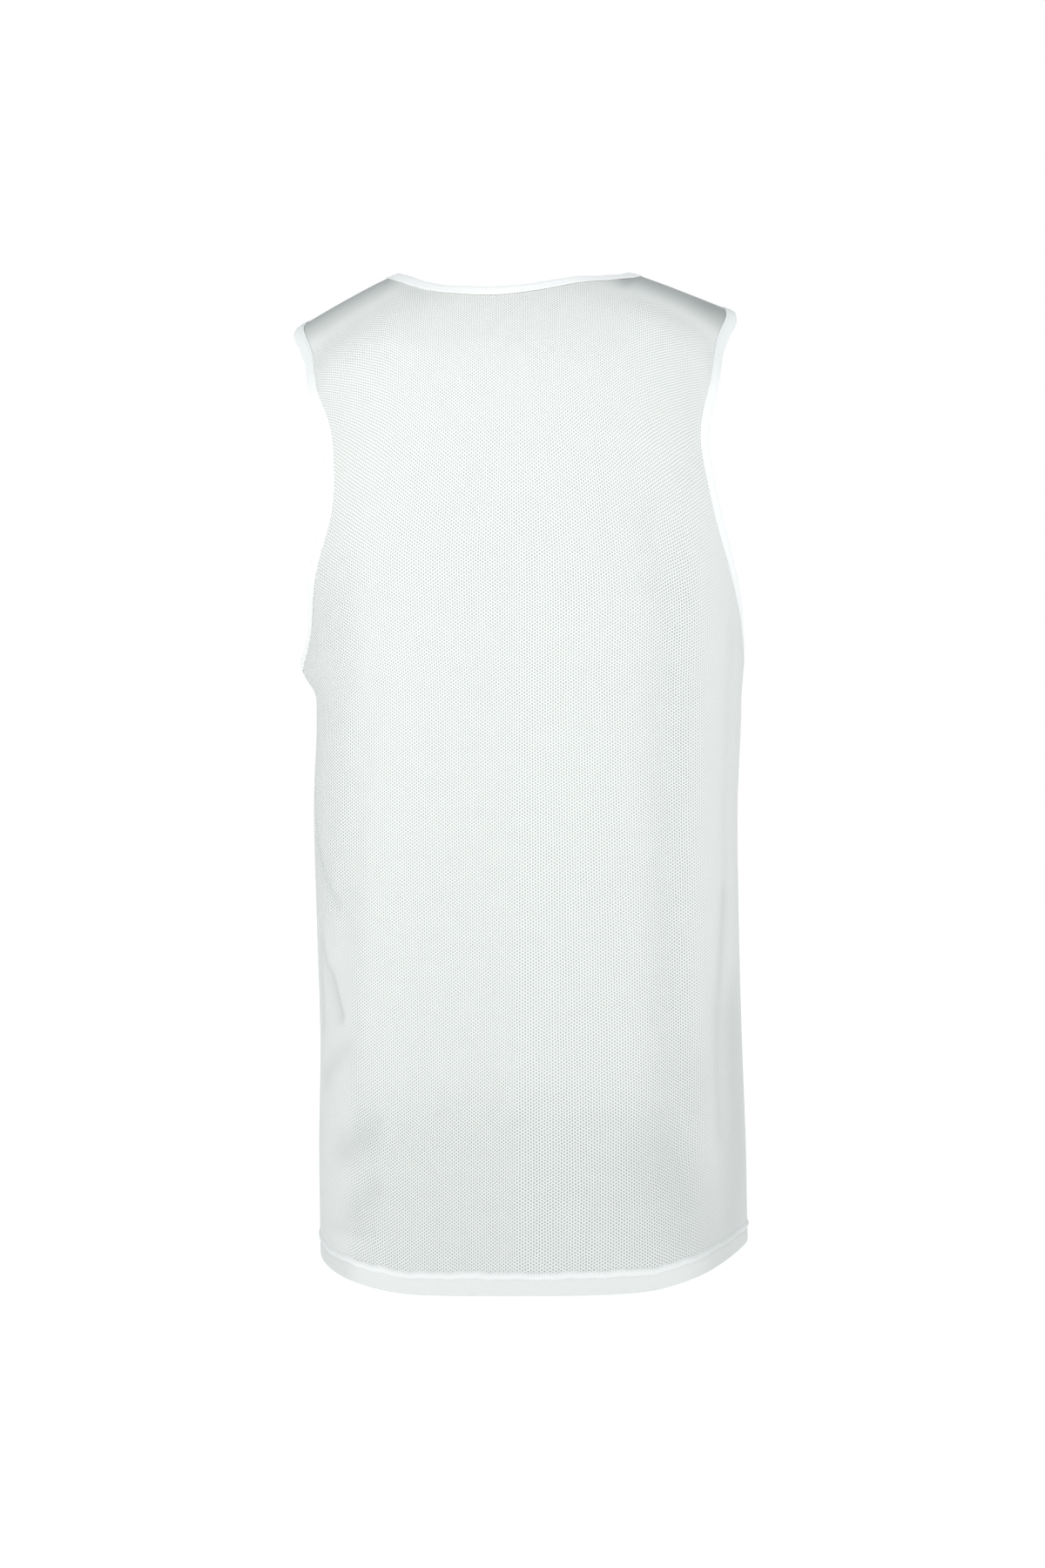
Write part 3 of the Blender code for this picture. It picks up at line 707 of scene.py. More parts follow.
def eyelet_distance(tree, place, pitch):
    """Distance from each place on the flat cloth to the nearest eyelet's middle.

    The eyelets lie in a honeycomb: two square-on lattices, the second half a step on."""
    across = pitch * math.sqrt(3.0) / 2
    up = pitch / 2
    distances = []
    for shift in ((0.0, 0.0, 0.0), (across, up, 0.0)):
        moved = add_node(
            tree, "ShaderNodeVectorMath", [(0, place), (1, shift)], operation="ADD"
        )
        cell = add_node(
            tree,
            "ShaderNodeVectorMath",
            [(0, moved.outputs[0]), (1, (across, up, 1.0)), (2, (-across, -up, -1.0))],
            operation="WRAP",
        )
        length = add_node(
            tree, "ShaderNodeVectorMath", [(0, cell.outputs[0])], operation="LENGTH"
        )
        distances.append(length.outputs["Value"])
    nearest = add_node(
        tree, "ShaderNodeMath", [(0, distances[0]), (1, distances[1])], operation="MINIMUM"
    )
    return nearest.outputs[0]


def eyelet_spots(tree, places, knit):
    """1 in the middle of each eyelet and 0 between them, on a knit that sways a little."""
    sway = add_node(
        tree,
        "ShaderNodeTexNoise",
        [
            ("Vector", places),
            ("Scale", SWAY_SCALE),
            ("Detail", SWAY_DETAIL),
            ("Roughness", SWAY_ROUGHNESS),
        ],
    )
    middle = add_node(
        tree,
        "ShaderNodeVectorMath",
        [(0, sway.outputs["Color"]), (1, (0.5, 0.5, 0.5))],
        operation="SUBTRACT",
    )
    swayed = add_node(
        tree,
        "ShaderNodeVectorMath",
        [(0, middle.outputs[0]), (1, (SWAY, SWAY, 0.0)), (2, places)],
        operation="MULTIPLY_ADD",
    )
    radius = knit.eyelet_width / 2
    eyelet = add_node(
        tree,
        "ShaderNodeMapRange",
        [
            ("Value", eyelet_distance(tree, swayed.outputs[0], knit.eyelet_pitch)),
            ("From Min", radius * (1.0 - EYELET_SOFT)),
            ("From Max", radius * (1.0 + EYELET_SOFT)),
            ("To Min", 1.0),
            ("To Max", 0.0),
        ],
        interpolation_type="SMOOTHSTEP",
    )
    return eyelet.outputs[0]


def eyelet_depth(tree, places):
    """How dark the eyelets look, which varies in soft patches over the cloth."""
    patchy = add_node(
        tree, "ShaderNodeTexNoise", [("Vector", places), ("Scale", PATCH_SCALE), ("Detail", 2.0)]
    )
    depth = add_node(
        tree,
        "ShaderNodeMapRange",
        [
            ("Value", patchy.outputs["Fac"]),
            ("From Min", PATCH_RANGE[0]),
            ("From Max", PATCH_RANGE[1]),
            ("To Min", 1.0 - PATCH_DEPTH),
            ("To Max", 1.0),
        ],
    )
    return depth.outputs[0]


def eyelet_knit(name, knit):
    """Polyester eyelet mesh, warp-knitted, as sports vests are cut from.

    Its fine bright yarn scatters light evenly, so it looks white and matt.  Each eyelet
    is painted as a soft grey dot of shade, for the dim inside of the vest seen through it,
    and the yarn between them takes a little of that painted shade.  The piece's maps say how much:
    panel_shares works them out."""
    colour = (*knit.colour, 1.0)
    material, tree, shader = new_material(name, colour, knit.roughness)
    places = add_node(tree, "ShaderNodeUVMap", uv_map=CLOTH_MAP).outputs["UV"]
    openness, painted_shade, packed_highlight = (
        add_node(tree, "ShaderNodeAttribute", attribute_name=share_map).outputs["Fac"]
        for share_map in (OPEN_MAP, PAINTED_SHADE_MAP, PACKED_HIGHLIGHT_MAP)
    )
    dot = eyelet_spots(tree, places, knit)
    for share in (eyelet_depth(tree, places), openness):
        dot = add_node(
            tree, "ShaderNodeMath", [(0, dot), (1, share)], operation="MULTIPLY"
        ).outputs[0]
    dimmed = add_node(
        tree, "ShaderNodeMapRange", [("Value", dot), ("To Min", painted_shade), ("To Max", 1.0)]
    )
    # packed yarn with a painted highlight, then the painted shade of the eyelets and the shade map
    mixed = colour
    for share, other in ((packed_highlight, knit.packed_highlight_colour), (dimmed.outputs[0], knit.painted_shade_colour)):
        mixed = add_node(
            tree,
            "ShaderNodeMix",
            [("Factor", share), ("A", mixed), ("B", (*other, 1.0))],
            data_type="RGBA",
        ).outputs["Result"]
    tree.links.new(mixed, shader.inputs["Base Color"])
    bump = add_node(
        tree,
        "ShaderNodeBump",
        [("Strength", EYELET_RELIEF), ("Distance", EYELET_SINK), ("Height", dot)],
        invert=True,
    )
    tree.links.new(bump.outputs["Normal"], shader.inputs["Normal"])
    return material


def binding_knit(name, tape):
    """Polyester interlock tape, knitted close and pressed flat.

    It has no holes, so it looks whiter and smoother than the mesh, with fine ribs across
    it that catch the light at its edges.  Out at the armholes it is greyed a little with
    painted shade, most where the shoulder points turn over: tape_shares says how much."""
    colour = (*tape.colour, 1.0)
    material, tree, shader = new_material(name, colour, tape.roughness)
    # painted shade greys the tape out at the armholes
    tape_shade = add_node(tree, "ShaderNodeAttribute", attribute_name=TAPE_SHADE_MAP)
    mixed = add_node(
        tree,
        "ShaderNodeMix",
        [("Factor", tape_shade.outputs["Fac"]), ("A", colour), ("B", (*tape.shaded_colour, 1.0))],
        data_type="RGBA",
    )
    tree.links.new(mixed.outputs["Result"], shader.inputs["Base Color"])
    places = add_node(tree, "ShaderNodeUVMap", uv_map=CLOTH_MAP).outputs["UV"]
    scale = 1.0 / (RIB_SPACING * WAVE_NODE_TURNS)
    ribs = add_node(
        tree,
        "ShaderNodeTexWave",
        [("Vector", places), ("Scale", scale), ("Distortion", RIB_WAVER)],
        bands_direction="X",
    )
    bump = add_node(
        tree,
        "ShaderNodeBump",
        [("Strength", RIB_RELIEF), ("Distance", RIB_HEIGHT), ("Height", ribs.outputs["Fac"])],
    )
    tree.links.new(bump.outputs["Normal"], shader.inputs["Normal"])
    return material


def sewing_thread(name, thread):
    """Spun polyester thread: white, with a slight gloss along each stitch."""
    return new_material(name, (*thread.colour, 1.0), thread.roughness)[0]


# ---------------------------------------------------------------- pieces
# How the two panels' edges are turned in and pressed towards the back at a sewn seam, seen
# across it: millimetres past the seam towards the front, and over the cloth.  The first
# ROLL points close the groove that shows; the rest lie inside.
BACK_TURNED_IN = (
    (-0.90, 0.0), (-0.62, -0.07), (-0.42, -0.28), (-0.35, -0.55), (-0.42, -0.82),
    (-0.62, -1.03), (-0.90, -1.10), (-3.00, -1.20), (-6.50, -1.20),
)
FRONT_TURNED_IN = (
    (0.90, 0.0), (0.62, -0.07), (0.42, -0.28), (0.35, -0.55), (0.30, -1.50),
    (0.10, -2.00), (-0.50, -2.25), (-3.00, -2.30), (-6.50, -2.30),
)
ROLL = 4


def seam_line(seam, side, position, past, lift):
    """Points along a line beside a sewn seam, and their flat places.

    position is metres up a side seam or the share across of a shoulder seam.  past is
    metres beyond the seam towards the front, and lift metres over the cloth."""
    panel = FRONT if np.max(past) > 0.0 else BACK
    reach = np.abs(past) + np.zeros_like(position)
    if seam == "side":
        across, along = side * (1.0 - reach / HALF_PANEL), position
    else:
        across, along = position, SEAM_ALONG - reach * seam_scale(panel, position)
    return cloth(panel, across, along, lift), np.stack((across * HALF_PANEL, along), axis=-1)


def turned_in(panel, seam, side, position, first, last):
    """A patch of a panel's turned-in edge between two places of its profile."""
    profile = BACK_TURNED_IN if panel is BACK else FRONT_TURNED_IN
    lines = [
        seam_line(seam, side, position, past * MM, lift * MM)
        for past, lift in profile[first:last]
    ]
    points, places = (np.stack(part, axis=1) for part in zip(*lines))
    return grid_patch(points, places)


def panel_patches(panel):
    """All patches of one panel: its sheet with the hem, and its turned-in edges."""
    across, along = panel_grid(panel)
    knit = bpy.context.scene.vest_knit
    layer = knit.wall + HEM_AIR
    foot = across[0]
    flat = np.zeros_like(foot)
    rows, places = [], []
    for height in np.linspace(HEM_TURN, 0.0, ROWS_TURNED):
        rows.append(cloth(panel, foot, flat + height, -layer))
        places.append(np.stack((foot * HALF_PANEL, flat - height), axis=-1))
    for angle in np.linspace(math.pi, 0.0, ROWS_FOLD + 2)[1:-1]:
        turn = cloth(panel, foot, flat, (math.cos(angle) - 1.0) * layer / 2)
        turn[:, 2] -= math.sin(angle) * layer / 2
        rows.append(turn)
        places.append(np.stack((foot * HALF_PANEL, flat), axis=-1))
    sheet = cloth(panel, across, along, hem_height(across, along))
    points = np.concatenate((np.array(rows), sheet))
    level = np.stack((across * HALF_PANEL, stitched_along(across, along)), axis=-1)
    flat_places = np.concatenate((np.array(places), level))
    patches = [grid_patch(points, flat_places)]
    up = along[: ROWS_HEM + ROWS_SKIRT + 1, 0]
    for side in (-1.0, 1.0):
        closing = up[up > HEM_NARROWING]
        patches.append(turned_in(panel, "side", side, closing, 0, ROLL))
        inside = up[up > HEM_TURN]
        patches.append(turned_in(panel, "side", side, inside, ROLL - 1, None))
        ends = slice(0, COLUMNS_SHOULDER + 1) if side < 0 else slice(-COLUMNS_SHOULDER - 1, None)
        patches.append(turned_in(panel, "shoulder", side, across[-1][ends], 0, None))
    return patches


def panel_shares(panel, points, places):
    """How a panel's knit looks at each vertex, from where it is on the vest and the cloth.

    Little of an eyelet shows over the hem, where the turned-up layer lies behind it, where
    slack knit draws it shut and where the cloth turns over the shoulders.  Painted shade
    greys the yarn there, in the hollows of folds and where the vest hangs clear of a body,
    and the hem's ridge looks whiter, partly where stitches pack it and partly as a painted highlight."""
    x, _, z = points.T
    across, level = places.T
    across = across / HALF_PANEL
    # painted shade in crease hollows and over the hem
    hollow = np.maximum(creased(panel.creases, across, level)[1], hem_shade(level))
    close = eased(z, CLOSE_LOW) * np.maximum(
        eased(x, CLOSE_LEFT) * eased(x, CLOSE_RIGHT), eased(z, CLOSE_HIGH)
    )
    # the slack sides: eyelets drawn shut, and painted shade
    shut = np.maximum(eased(x, SHUT_LEFT) * eased(z, SHUT_LEFT_BELOW), eased(x, SHUT_RIGHT))
    flat = np.maximum(eased(x, TURNED_LEFT), eased(x, TURNED_RIGHT)) * eased(level, TURNED_FLAT)
    # painted shade over the shoulder tops
    grey = flat * eased(level, SHOULDER_SHADE_RISE) * eased(level, SHOULDER_SHADE_END)
    backed = (HEM_TURN - NEEDLE_ROOM, HEM_TURN)
    openness = np.interp(level, backed, (BACKED_EYELET, 1.0))
    # painted shade: seen through where the vest hangs clear, in hollows, at the sides and over the shoulders
    painted_shade = SEE_THROUGH_SHADE * (1.0 - close) * openness
    painted_shade += HOLLOW_SHADE * hollow + SIDE_SHADE * shut + SHOULDER_SHADE * grey
    for share, least in ((close, CLOSE_EYELET), (shut, SHUT_EYELET), (flat, TURNED_EYELET)):
        openness = openness * (1.0 - share * (1.0 - least))
    low, high = NEEDLE_ROWS
    # packed yarn on the hem's ridge, partly a painted highlight
    packed_highlight = eased(level, (low - PACKED_HIGHLIGHT_EASE, low + PACKED_HIGHLIGHT_EASE))
    packed_highlight *= eased(level, (high + PACKED_HIGHLIGHT_EASE, high - PACKED_HIGHLIGHT_EASE))
    return {OPEN_MAP: openness, PAINTED_SHADE_MAP: painted_shade, PACKED_HIGHLIGHT_MAP: packed_highlight}


def make_panel(panel, name):
    """One panel of eyelet knit, its hem turned up and its seam edges turned in."""
    knit = bpy.context.scene.vest_knit
    patches = panel_patches(panel)
    piece = cloth_mesh(name, patches)
    points, _, places = (np.concatenate(part) for part in zip(*patches))
    add_shares(piece, panel_shares(panel, points, places))
    weld(piece)
    thicken(piece, knit.wall)
    material = shared_material("polyester_eyelet_knit", eyelet_knit, knit)
    finish_piece(piece, material, "mesh_knit", panel.name)


def resampled(loop, spacing):
    """A loop's points, normals and directions off the cloth, evenly spaced, and lengths."""
    closed = [np.concatenate((line, line[:1])) for line in loop]
    length = np.concatenate(
        ([0.0], np.cumsum(np.linalg.norm(np.diff(closed[0], axis=0), axis=-1)))
    )
    count = int(round(length[-1] / spacing))
    at = np.arange(count) * length[-1] / count
    lines = [
        np.stack([np.interp(at, length, line[:, axis]) for axis in range(3)], axis=-1)
        for line in closed
    ]
    return (lines[0], unit(lines[1]), unit(lines[2])), at, length[-1]


def tape_profile(width, grip):
    """Places across a folded tape: metres off the cloth's edge, and metres over it."""
    half = TAPE_HALF
    reach = np.linspace(-grip, width - half, TAPE_LEAF_POINTS)
    share = (reach + grip) / (width - half + grip)
    height = half + TAPE_BULGE * np.sin(share * math.pi) ** TAPE_BULGE_BEND
    height -= NEEDLE_SINK * np.exp(-(((reach - TAPE_NEEDLE) / NEEDLE_SINK_WIDTH) ** 2))
    turn = np.linspace(math.pi / 2, -math.pi / 2, TAPE_TURN_POINTS + 2)[1:-1]
    fold = np.stack((width - half + half * np.cos(turn), half * np.sin(turn)), axis=-1)
    outer = np.stack((reach, height), axis=-1)
    inner = np.stack((reach, -height), axis=-1)[::-1]
    return np.concatenate((outer, fold, inner))


def tape_shares(points):
    """How much painted shade greys a binding at each vertex, from where it is on the vest."""
    x, _, z = points.T
    out = np.maximum(eased(x, OUT_LEFT), eased(x, OUT_RIGHT))
    # painted shade, strongest at the shoulder points
    grey = ARMHOLE_SHADE + (1.0 - ARMHOLE_SHADE) * eased(z, SHOULDER_POINTS)
    return {TAPE_SHADE_MAP: out * grey}


def make_tape(name, loop, width, grip, node):
    """A binding: one strip of tape folded over the edge of an opening, all round it."""
    tape = bpy.context.scene.vest_tape
    (points, normal, off), at, total = resampled(loop, TAPE_SPACING)
    profile = tape_profile(width + BAND_START, grip)
    ripple = TAPE_RIPPLE * (
        np.sin(at * math.tau / (total / RIPPLES))
        + RIPPLE_FINE_SHARE
        * np.sin(at * math.tau / (total / RIPPLES_FINE) + RIPPLE_FINE_PHASE)
    )
    lines, places = [], []
    travelled = np.concatenate(
        ([0.0], np.cumsum(np.linalg.norm(np.diff(profile, axis=0), axis=-1)))
    )
    for (reach, height), across in zip(profile, travelled):
        free = ease(reach / width)
        lines.append(points + off * (reach + ripple * free)[:, None] + normal * height)
        places.append(np.stack((at, np.full_like(at, across)), axis=-1))
    strip = np.stack(lines, axis=1)
    flat = np.stack(places, axis=1)
    strip = np.concatenate((strip, strip[:1]))
    last = flat[:1] + np.array((total, 0.0))
    piece = cloth_mesh(name, [grid_patch(strip, np.concatenate((flat, last)))])
    add_shares(piece, tape_shares(strip.reshape(-1, 3)))
    weld(piece)
    thicken(piece, tape.wall)
    material = shared_material("polyester_interlock_tape", binding_knit, tape)
    finish_piece(piece, material, "binding_knit", node)


def make_thread(name, lines):
    """Threads along lines of points, joined into one mesh."""
    thread = bpy.context.scene.vest_thread
    curve = bpy.data.curves.new(name, "CURVE")
    curve.dimensions = "3D"
    curve.bevel_depth = thread.width / 2
    curve.bevel_resolution = 1
    curve.use_fill_caps = True
    for line in lines:
        spline = curve.splines.new("POLY")
        spline.points.add(len(line) - 1)
        spline.points.foreach_set("co", np.insert(line, 3, 1.0, axis=1).ravel())
    piece = bpy.data.objects.new(name, curve)
    bpy.context.scene.collection.objects.link(piece)
    make_active(piece)
    bpy.ops.object.convert(target="MESH")
    piece = bpy.context.view_layer.objects.active
    weld(piece)
    bpy.ops.object.shade_smooth()
    material = shared_material("polyester_sewing_thread", sewing_thread, thread)
    finish_piece(piece, material, "binding_knit")


def stitches_along(points, normal, length, gap):
    """One short line of points for each stitch of a row, its ends sunk into the cloth."""
    step = np.concatenate(([0.0], np.cumsum(np.linalg.norm(np.diff(points, axis=0), axis=-1))))
    starts = np.arange(0.0, step[-1] - length, length + gap)
    lines = []
    for start in starts:
        at = start + length * STITCH_SHAPE[:, 0]
        place = np.stack([np.interp(at, step, points[:, axis]) for axis in range(3)], axis=-1)
        out = unit(np.stack([np.interp(at, step, normal[:, axis]) for axis in range(3)], axis=-1))
        lines.append(place + out * STITCH_SHAPE[:, 1:])
    return lines


def hem_rows(panel, row):
    """A needle row of the hem's cover stitch: points and normals on the cloth's outside."""
    wall = bpy.context.scene.vest_knit.wall
    end = 1.0 - ROW_INSET / HALF_PANEL
    across = np.linspace(-end, end, ROW_POINTS)
    along = row + hem_drift(across)
    lift = hem_height(across, along) + wall / 2
    return cloth(panel, across, along, lift), normals(panel, across, along)


def hem_stitches():
    """Both needle rows round the hem, and the looper thread that zigzags inside it."""
    knit = bpy.context.scene.vest_knit
    thread = bpy.context.scene.vest_thread
    lines = []
    for panel in (BACK, FRONT):
        for row in NEEDLE_ROWS:
            lines += stitches_along(*hem_rows(panel, row), thread.stitch, thread.gap)
        end = 1.0 - ROW_INSET / HALF_PANEL
        count = int(2 * end * HALF_PANEL / (thread.stitch + thread.gap))
        across = np.linspace(-end, end, 2 * count + 1)
        along = np.where(np.arange(2 * count + 1) % 2, *NEEDLE_ROWS)
        # under both layers, the outer of which has its middle at 0
        inside = -1.5 * knit.wall - HEM_AIR - thread.width / 2
        lines.append(cloth(panel, across, along + hem_drift(across), inside))
    return lines


def binding_stitches(loop):
    """The stitches that hold a folded tape to the cloth, on both of its leaves."""
    thread = bpy.context.scene.vest_thread
    (points, normal, off), _, _ = resampled(loop, TAPE_SPACING)
    rise = TAPE_HALF + bpy.context.scene.vest_tape.wall / 2 - NEEDLE_SINK / 2
    lines = []
    for leaf in (1.0, -1.0):
        row = points + off * TAPE_NEEDLE + normal * rise * leaf
        lines += stitches_along(row, normal * leaf, thread.stitch, thread.gap)
    return lines


def overlock_coil(seam, side):
    """The thread that wraps the raw edges of a seam, one coil along the seam's inside."""
    if seam == "side":
        ends = SIDE_COIL
        length = ends[1] - ends[0]
    else:
        ends = [side * end for end in SHOULDER_COIL]
        length = SHOULDER_LENGTH
    turns = int(length / OVERLOCK_PITCH)
    angle = np.linspace(0.0, math.tau * turns, COIL_POINTS * turns + 1)
    position = np.linspace(*ends, len(angle))
    past = -(OVERLOCK_MIDDLE + OVERLOCK_REACH * np.cos(angle))
    lift = -(OVERLOCK_DEPTH + OVERLOCK_RISE * np.sin(angle))
    return seam_line(seam, side, position, past, lift)[0]


# ---------------------------------------------------------------- the stage
def add_camera(stage):
    """The camera, level and square on to the back."""
    data = bpy.data.cameras.new("camera")
    data.lens = stage.lens
    data.dof.use_dof = False
    camera = bpy.data.objects.new("camera", data)
    camera.location = stage.camera_place
    camera.rotation_euler = (math.pi / 2, 0.0, 0.0)
    bpy.context.scene.collection.objects.link(camera)
    bpy.context.scene.camera = camera


def add_softbox(name, place, power):
    """A square white light, turned towards the vest's middle."""
    data = bpy.data.lights.new(name, "AREA")
    data.shape = "SQUARE"
    data.size = LIGHT_SIZE
    data.spread = LIGHT_SPREAD
    data.energy = power
    light = bpy.data.objects.new(name, data)
    light.location = place
    direction = mathutils.Vector(LIGHTS_AIM) - mathutils.Vector(place)
    light.rotation_euler = direction.to_track_quat("-Z", "Y").to_euler()
    bpy.context.scene.collection.objects.link(light)


def add_surround(stage):
    """A white room, bright to the horizon and below, and dimmer overhead."""
    world = bpy.data.worlds.new("studio")
    world.use_nodes = True
    bpy.context.scene.world = world
    tree = world.node_tree
    background = tree.nodes["Background"]
    direction = add_node(tree, "ShaderNodeTexCoord").outputs["Generated"]
    height = add_node(tree, "ShaderNodeSeparateXYZ", [("Vector", direction)])
    share = add_node(
        tree,
        "ShaderNodeMapRange",
        [("Value", height.outputs["Z"]), ("From Min", BRIGHT_TO), ("From Max", DIM_FROM)],
        interpolation_type="SMOOTHSTEP",
    )
    mixed = add_node(
        tree,
        "ShaderNodeMix",
        [
            ("Factor", share.outputs[0]),
            ("A", (*stage.horizon_colour, 1.0)),
            ("B", (*stage.overhead_colour, 1.0)),
        ],
        data_type="RGBA",
    )
    tree.links.new(mixed.outputs["Result"], background.inputs["Color"])
    background.inputs["Strength"].default_value = stage.room_light


def add_floor(stage):
    """A round pale floor, matt and evenly lit, far enough below for no shadow to show."""
    bpy.ops.object.select_all(action="DESELECT")
    bpy.ops.mesh.primitive_circle_add(
        vertices=96, radius=FLOOR_RADIUS, fill_type="NGON", location=(0.0, 0.0, stage.floor_level)
    )
    floor = bpy.context.object
    floor.name = "floor"
    colour = (*stage.floor_colour, 1.0)
    material, _, shader = new_material("painted_floor", colour, FLOOR_ROUGHNESS)
    shader.inputs["Emission Color"].default_value = colour
    shader.inputs["Emission Strength"].default_value = stage.floor_glow
    floor.data.materials.append(material)


# ---------------------------------------------------------------- the add-on
def colour_property(name, description, hex_colour):
    """A colour that shows as a swatch, given as an sRGB hex value."""
    return bpy.props.FloatVectorProperty(
        name=name, description=description, default=linear(hex_colour)[:3], subtype="COLOR"
    )


def length_property(name, description, default):
    """A length in metres."""
    return bpy.props.FloatProperty(
        name=name, description=description, default=default, unit="LENGTH", precision=5
    )


def share_property(name, description, default):
    """A plain number from 0 to 1."""
    return bpy.props.FloatProperty(
        name=name, description=description, default=default, min=0.0, max=1.0, subtype="FACTOR"
    )


class VestKnit(bpy.types.PropertyGroup):
    """The eyelet knit that the two panels are cut from."""

    wall: length_property("Wall", "Thickness of one layer", 0.0009)
    eyelet_pitch: length_property("Eyelet pitch", "Between neighbouring eyelets", 0.0024)
    eyelet_width: length_property("Eyelet width", "Across one eyelet", 0.0014)
    roughness: share_property("Roughness", "How matt the knit is", 0.85)
    colour: colour_property("Colour", "The yarn", "E5E6E3")
    # the ridge's packed yarn, partly a painted highlight
    packed_highlight_colour: colour_property("Packed colour", "The yarn on the hem's ridge", "EAEBE9")
    # painted shade: the dim inside seen through the eyelets, also mixed into the yarn
    painted_shade_colour: colour_property("Eyelet colour", "What shows in the holes", "9EA3A0")


class VestTape(bpy.types.PropertyGroup):
    """The tape that binds the neck and the armholes."""

    wall: length_property("Wall", "Thickness of one leaf", 0.0005)
    roughness: share_property("Roughness", "How matt the tape is", 0.75)
    colour: colour_property("Colour", "The yarn", "F7F7F5")
    # painted shade on the bindings at the shoulder points
    shaded_colour: colour_property("Shaded colour", "At the shoulder points", "E2E4E3")


class VestThread(bpy.types.PropertyGroup):
    """The thread of the seams and stitches."""

    width: length_property("Width", "Diameter of the thread", 0.00034)
    stitch: length_property("Stitch", "Length of one stitch", 0.0021)
    gap: length_property("Gap", "Between two stitches", 0.0005)
    roughness: share_property("Roughness", "How matt the thread is", 0.55)
    colour: colour_property("Colour", "The thread", "E4E6E6")


class VestStage(bpy.types.PropertyGroup):
    """The camera, the lights and the floor."""

    camera_place: bpy.props.FloatVectorProperty(
        name="Camera", description="Place of the camera", default=(0.006, -1.37, -0.386), unit="LENGTH"
    )
    lens: bpy.props.FloatProperty(
        name="Lens", description="Focal length", default=40.88, unit="CAMERA"
    )
    floor_level: length_property("Floor level", "Height of the floor", -1.35)
    floor_glow: bpy.props.FloatProperty(
        name="Floor glow", description="Light of the lit floor itself", default=0.65
    )
    key_power: bpy.props.FloatProperty(
        name="Key light", description="Power of the light before the back", default=2.08, unit="POWER"
    )
    side_power: bpy.props.FloatProperty(
        name="Side light", description="Power of the light at the right", default=0.9, unit="POWER"
    )
    fill_power: bpy.props.FloatProperty(
        name="Fill light", description="Power of the light at the left", default=0.47, unit="POWER"
    )
    room_light: bpy.props.FloatProperty(
        name="Room light", description="Strength of the white room", default=1.0
    )
    floor_colour: colour_property("Floor", "The painted floor", "F7F8F8")
    horizon_colour: colour_property("Horizon", "The room at eye level and below", "FFFFFF")
    overhead_colour: colour_property("Overhead", "The room overhead", "72818C")


class PieceOperator:
    """What all of the vest's operators have in common."""

    bl_options = {"REGISTER", "UNDO"}


class VEST_OT_back_panel(PieceOperator, bpy.types.Operator):
    """Add the back panel with its turned-up hem"""

    bl_idname = "vest.back_panel"
    bl_label = "Back Panel"

    def execute(self, context):
        make_panel(BACK, "back_panel_cloth")
        return {"FINISHED"}


class VEST_OT_front_panel(PieceOperator, bpy.types.Operator):
    """Add the front panel with its turned-up hem"""

    bl_idname = "vest.front_panel"
    bl_label = "Front Panel"

    def execute(self, context):
        make_panel(FRONT, "front_panel_cloth")
        return {"FINISHED"}


class VEST_OT_neck_binding(PieceOperator, bpy.types.Operator):
    """Bind the neck opening with folded tape"""

    bl_idname = "vest.neck_binding"
    bl_label = "Neck Binding"

    def execute(self, context):
        make_tape("neck_binding_tape", neck_loop(), NECK_BAND_WIDTH, NECK_GRIP, "neck_binding")
        return {"FINISHED"}


class VEST_OT_armhole_bindings(PieceOperator, bpy.types.Operator):
    """Bind both armholes with folded tape"""

    bl_idname = "vest.armhole_bindings"
    bl_label = "Armhole Bindings"

    def execute(self, context):
        for side, sign in SIDES.items():
            node = f"armhole_binding_{side}"
            make_tape(f"{node}_tape", armhole_loop(sign), BAND_WIDTH, ARMHOLE_GRIP, node)
        return {"FINISHED"}


class VEST_OT_hem_stitches(PieceOperator, bpy.types.Operator):
    """Sew the hem down with a cover stitch"""

    bl_idname = "vest.hem_stitches"
    bl_label = "Hem Stitches"

    def execute(self, context):
        make_thread("hem_stitches", hem_stitches())
        return {"FINISHED"}


class VEST_OT_binding_stitches(PieceOperator, bpy.types.Operator):
    """Sew the three bindings down along their inner edges"""

    bl_idname = "vest.binding_stitches"
    bl_label = "Binding Stitches"

    def execute(self, context):
        make_thread("neck_stitches", binding_stitches(neck_loop()))
        for side, sign in SIDES.items():
            make_thread(f"armhole_stitches_{side}", binding_stitches(armhole_loop(sign)))
        return {"FINISHED"}


class VEST_OT_seam_overlock(PieceOperator, bpy.types.Operator):
    """Overlock the edges of the side and shoulder seams inside the vest"""

    bl_idname = "vest.seam_overlock"
    bl_label = "Seam Overlock"

    def execute(self, context):
        for side, sign in SIDES.items():
            for seam in ("side", "shoulder"):
                make_thread(f"{seam}_overlock_{side}", [overlock_coil(seam, sign)])
        return {"FINISHED"}


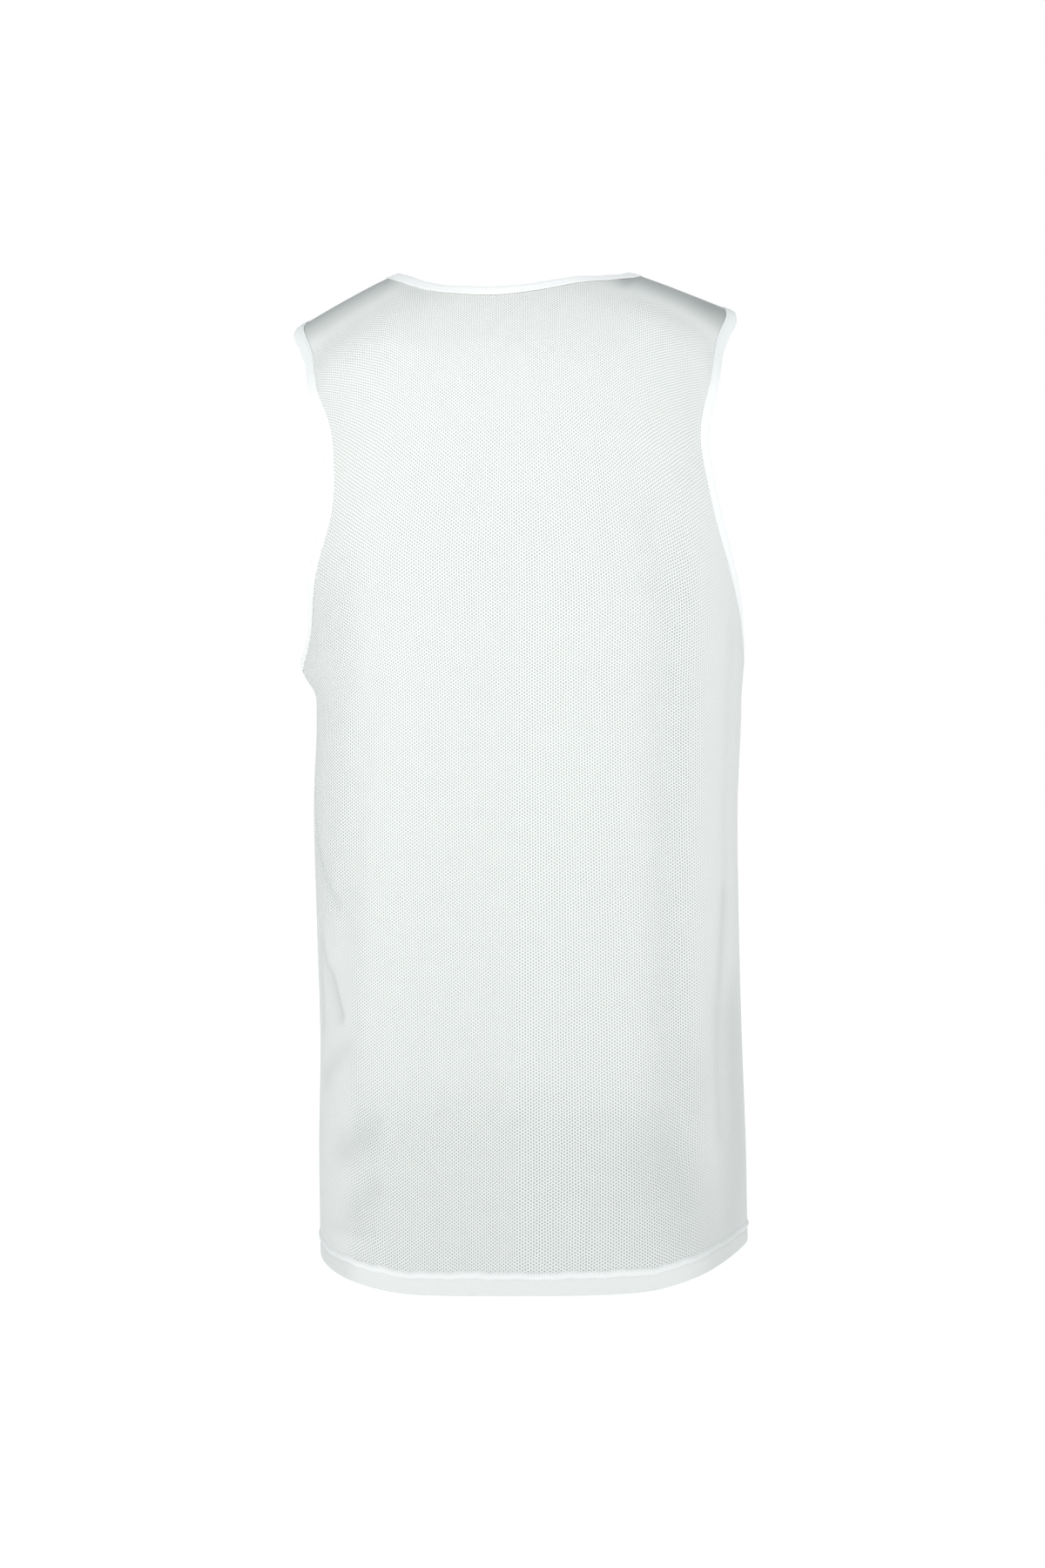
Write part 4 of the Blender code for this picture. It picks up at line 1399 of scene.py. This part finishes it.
class VEST_OT_stage(PieceOperator, bpy.types.Operator):
    """Add the camera, the lights, the white room and the floor"""

    bl_idname = "vest.stage"
    bl_label = "Stage"

    def execute(self, context):
        stage = context.scene.vest_stage
        add_camera(stage)
        add_softbox("key_light", KEY_LIGHT, stage.key_power)
        add_softbox("side_light", SIDE_LIGHT, stage.side_power)
        add_softbox("fill_light", FILL_LIGHT, stage.fill_power)
        add_surround(stage)
        add_floor(stage)
        context.scene.view_settings.view_transform = "Standard"
        return {"FINISHED"}


class VEST_PT_sidebar(bpy.types.Panel):
    """Lists the vest's pieces and their sizes and colours"""

    bl_idname = "VEST_PT_sidebar"
    bl_label = "Mesh Training Vest"
    bl_space_type = "VIEW_3D"
    bl_region_type = "UI"
    bl_category = "Vest"

    def draw(self, context):
        for group in SETTINGS:
            box = self.layout.box()
            settings = getattr(context.scene, group)
            for name in settings.__annotations__:
                box.prop(settings, name)
        for operator in PIECES:
            self.layout.operator(operator.bl_idname)


SIDES = {"left": -1.0, "right": 1.0}
SETTINGS = {
    "vest_knit": VestKnit,
    "vest_tape": VestTape,
    "vest_thread": VestThread,
    "vest_stage": VestStage,
}
PIECES = (
    VEST_OT_back_panel,
    VEST_OT_front_panel,
    VEST_OT_neck_binding,
    VEST_OT_armhole_bindings,
    VEST_OT_hem_stitches,
    VEST_OT_binding_stitches,
    VEST_OT_seam_overlock,
    VEST_OT_stage,
)


def register():
    for kind in (*SETTINGS.values(), *PIECES, VEST_PT_sidebar):
        bpy.utils.register_class(kind)
    for name, kind in SETTINGS.items():
        setattr(bpy.types.Scene, name, bpy.props.PointerProperty(type=kind))


def unregister():
    for name in SETTINGS:
        delattr(bpy.types.Scene, name)
    for kind in (VEST_PT_sidebar, *reversed(PIECES), *reversed(SETTINGS.values())):
        bpy.utils.unregister_class(kind)


def main():
    register()
    bpy.ops.vest.back_panel()
    bpy.ops.vest.front_panel()
    bpy.ops.vest.neck_binding()
    bpy.ops.vest.armhole_bindings()
    bpy.ops.vest.hem_stitches()
    bpy.ops.vest.binding_stitches()
    bpy.ops.vest.seam_overlock()
    bpy.ops.vest.stage()


if __name__ == "__main__":
    main()
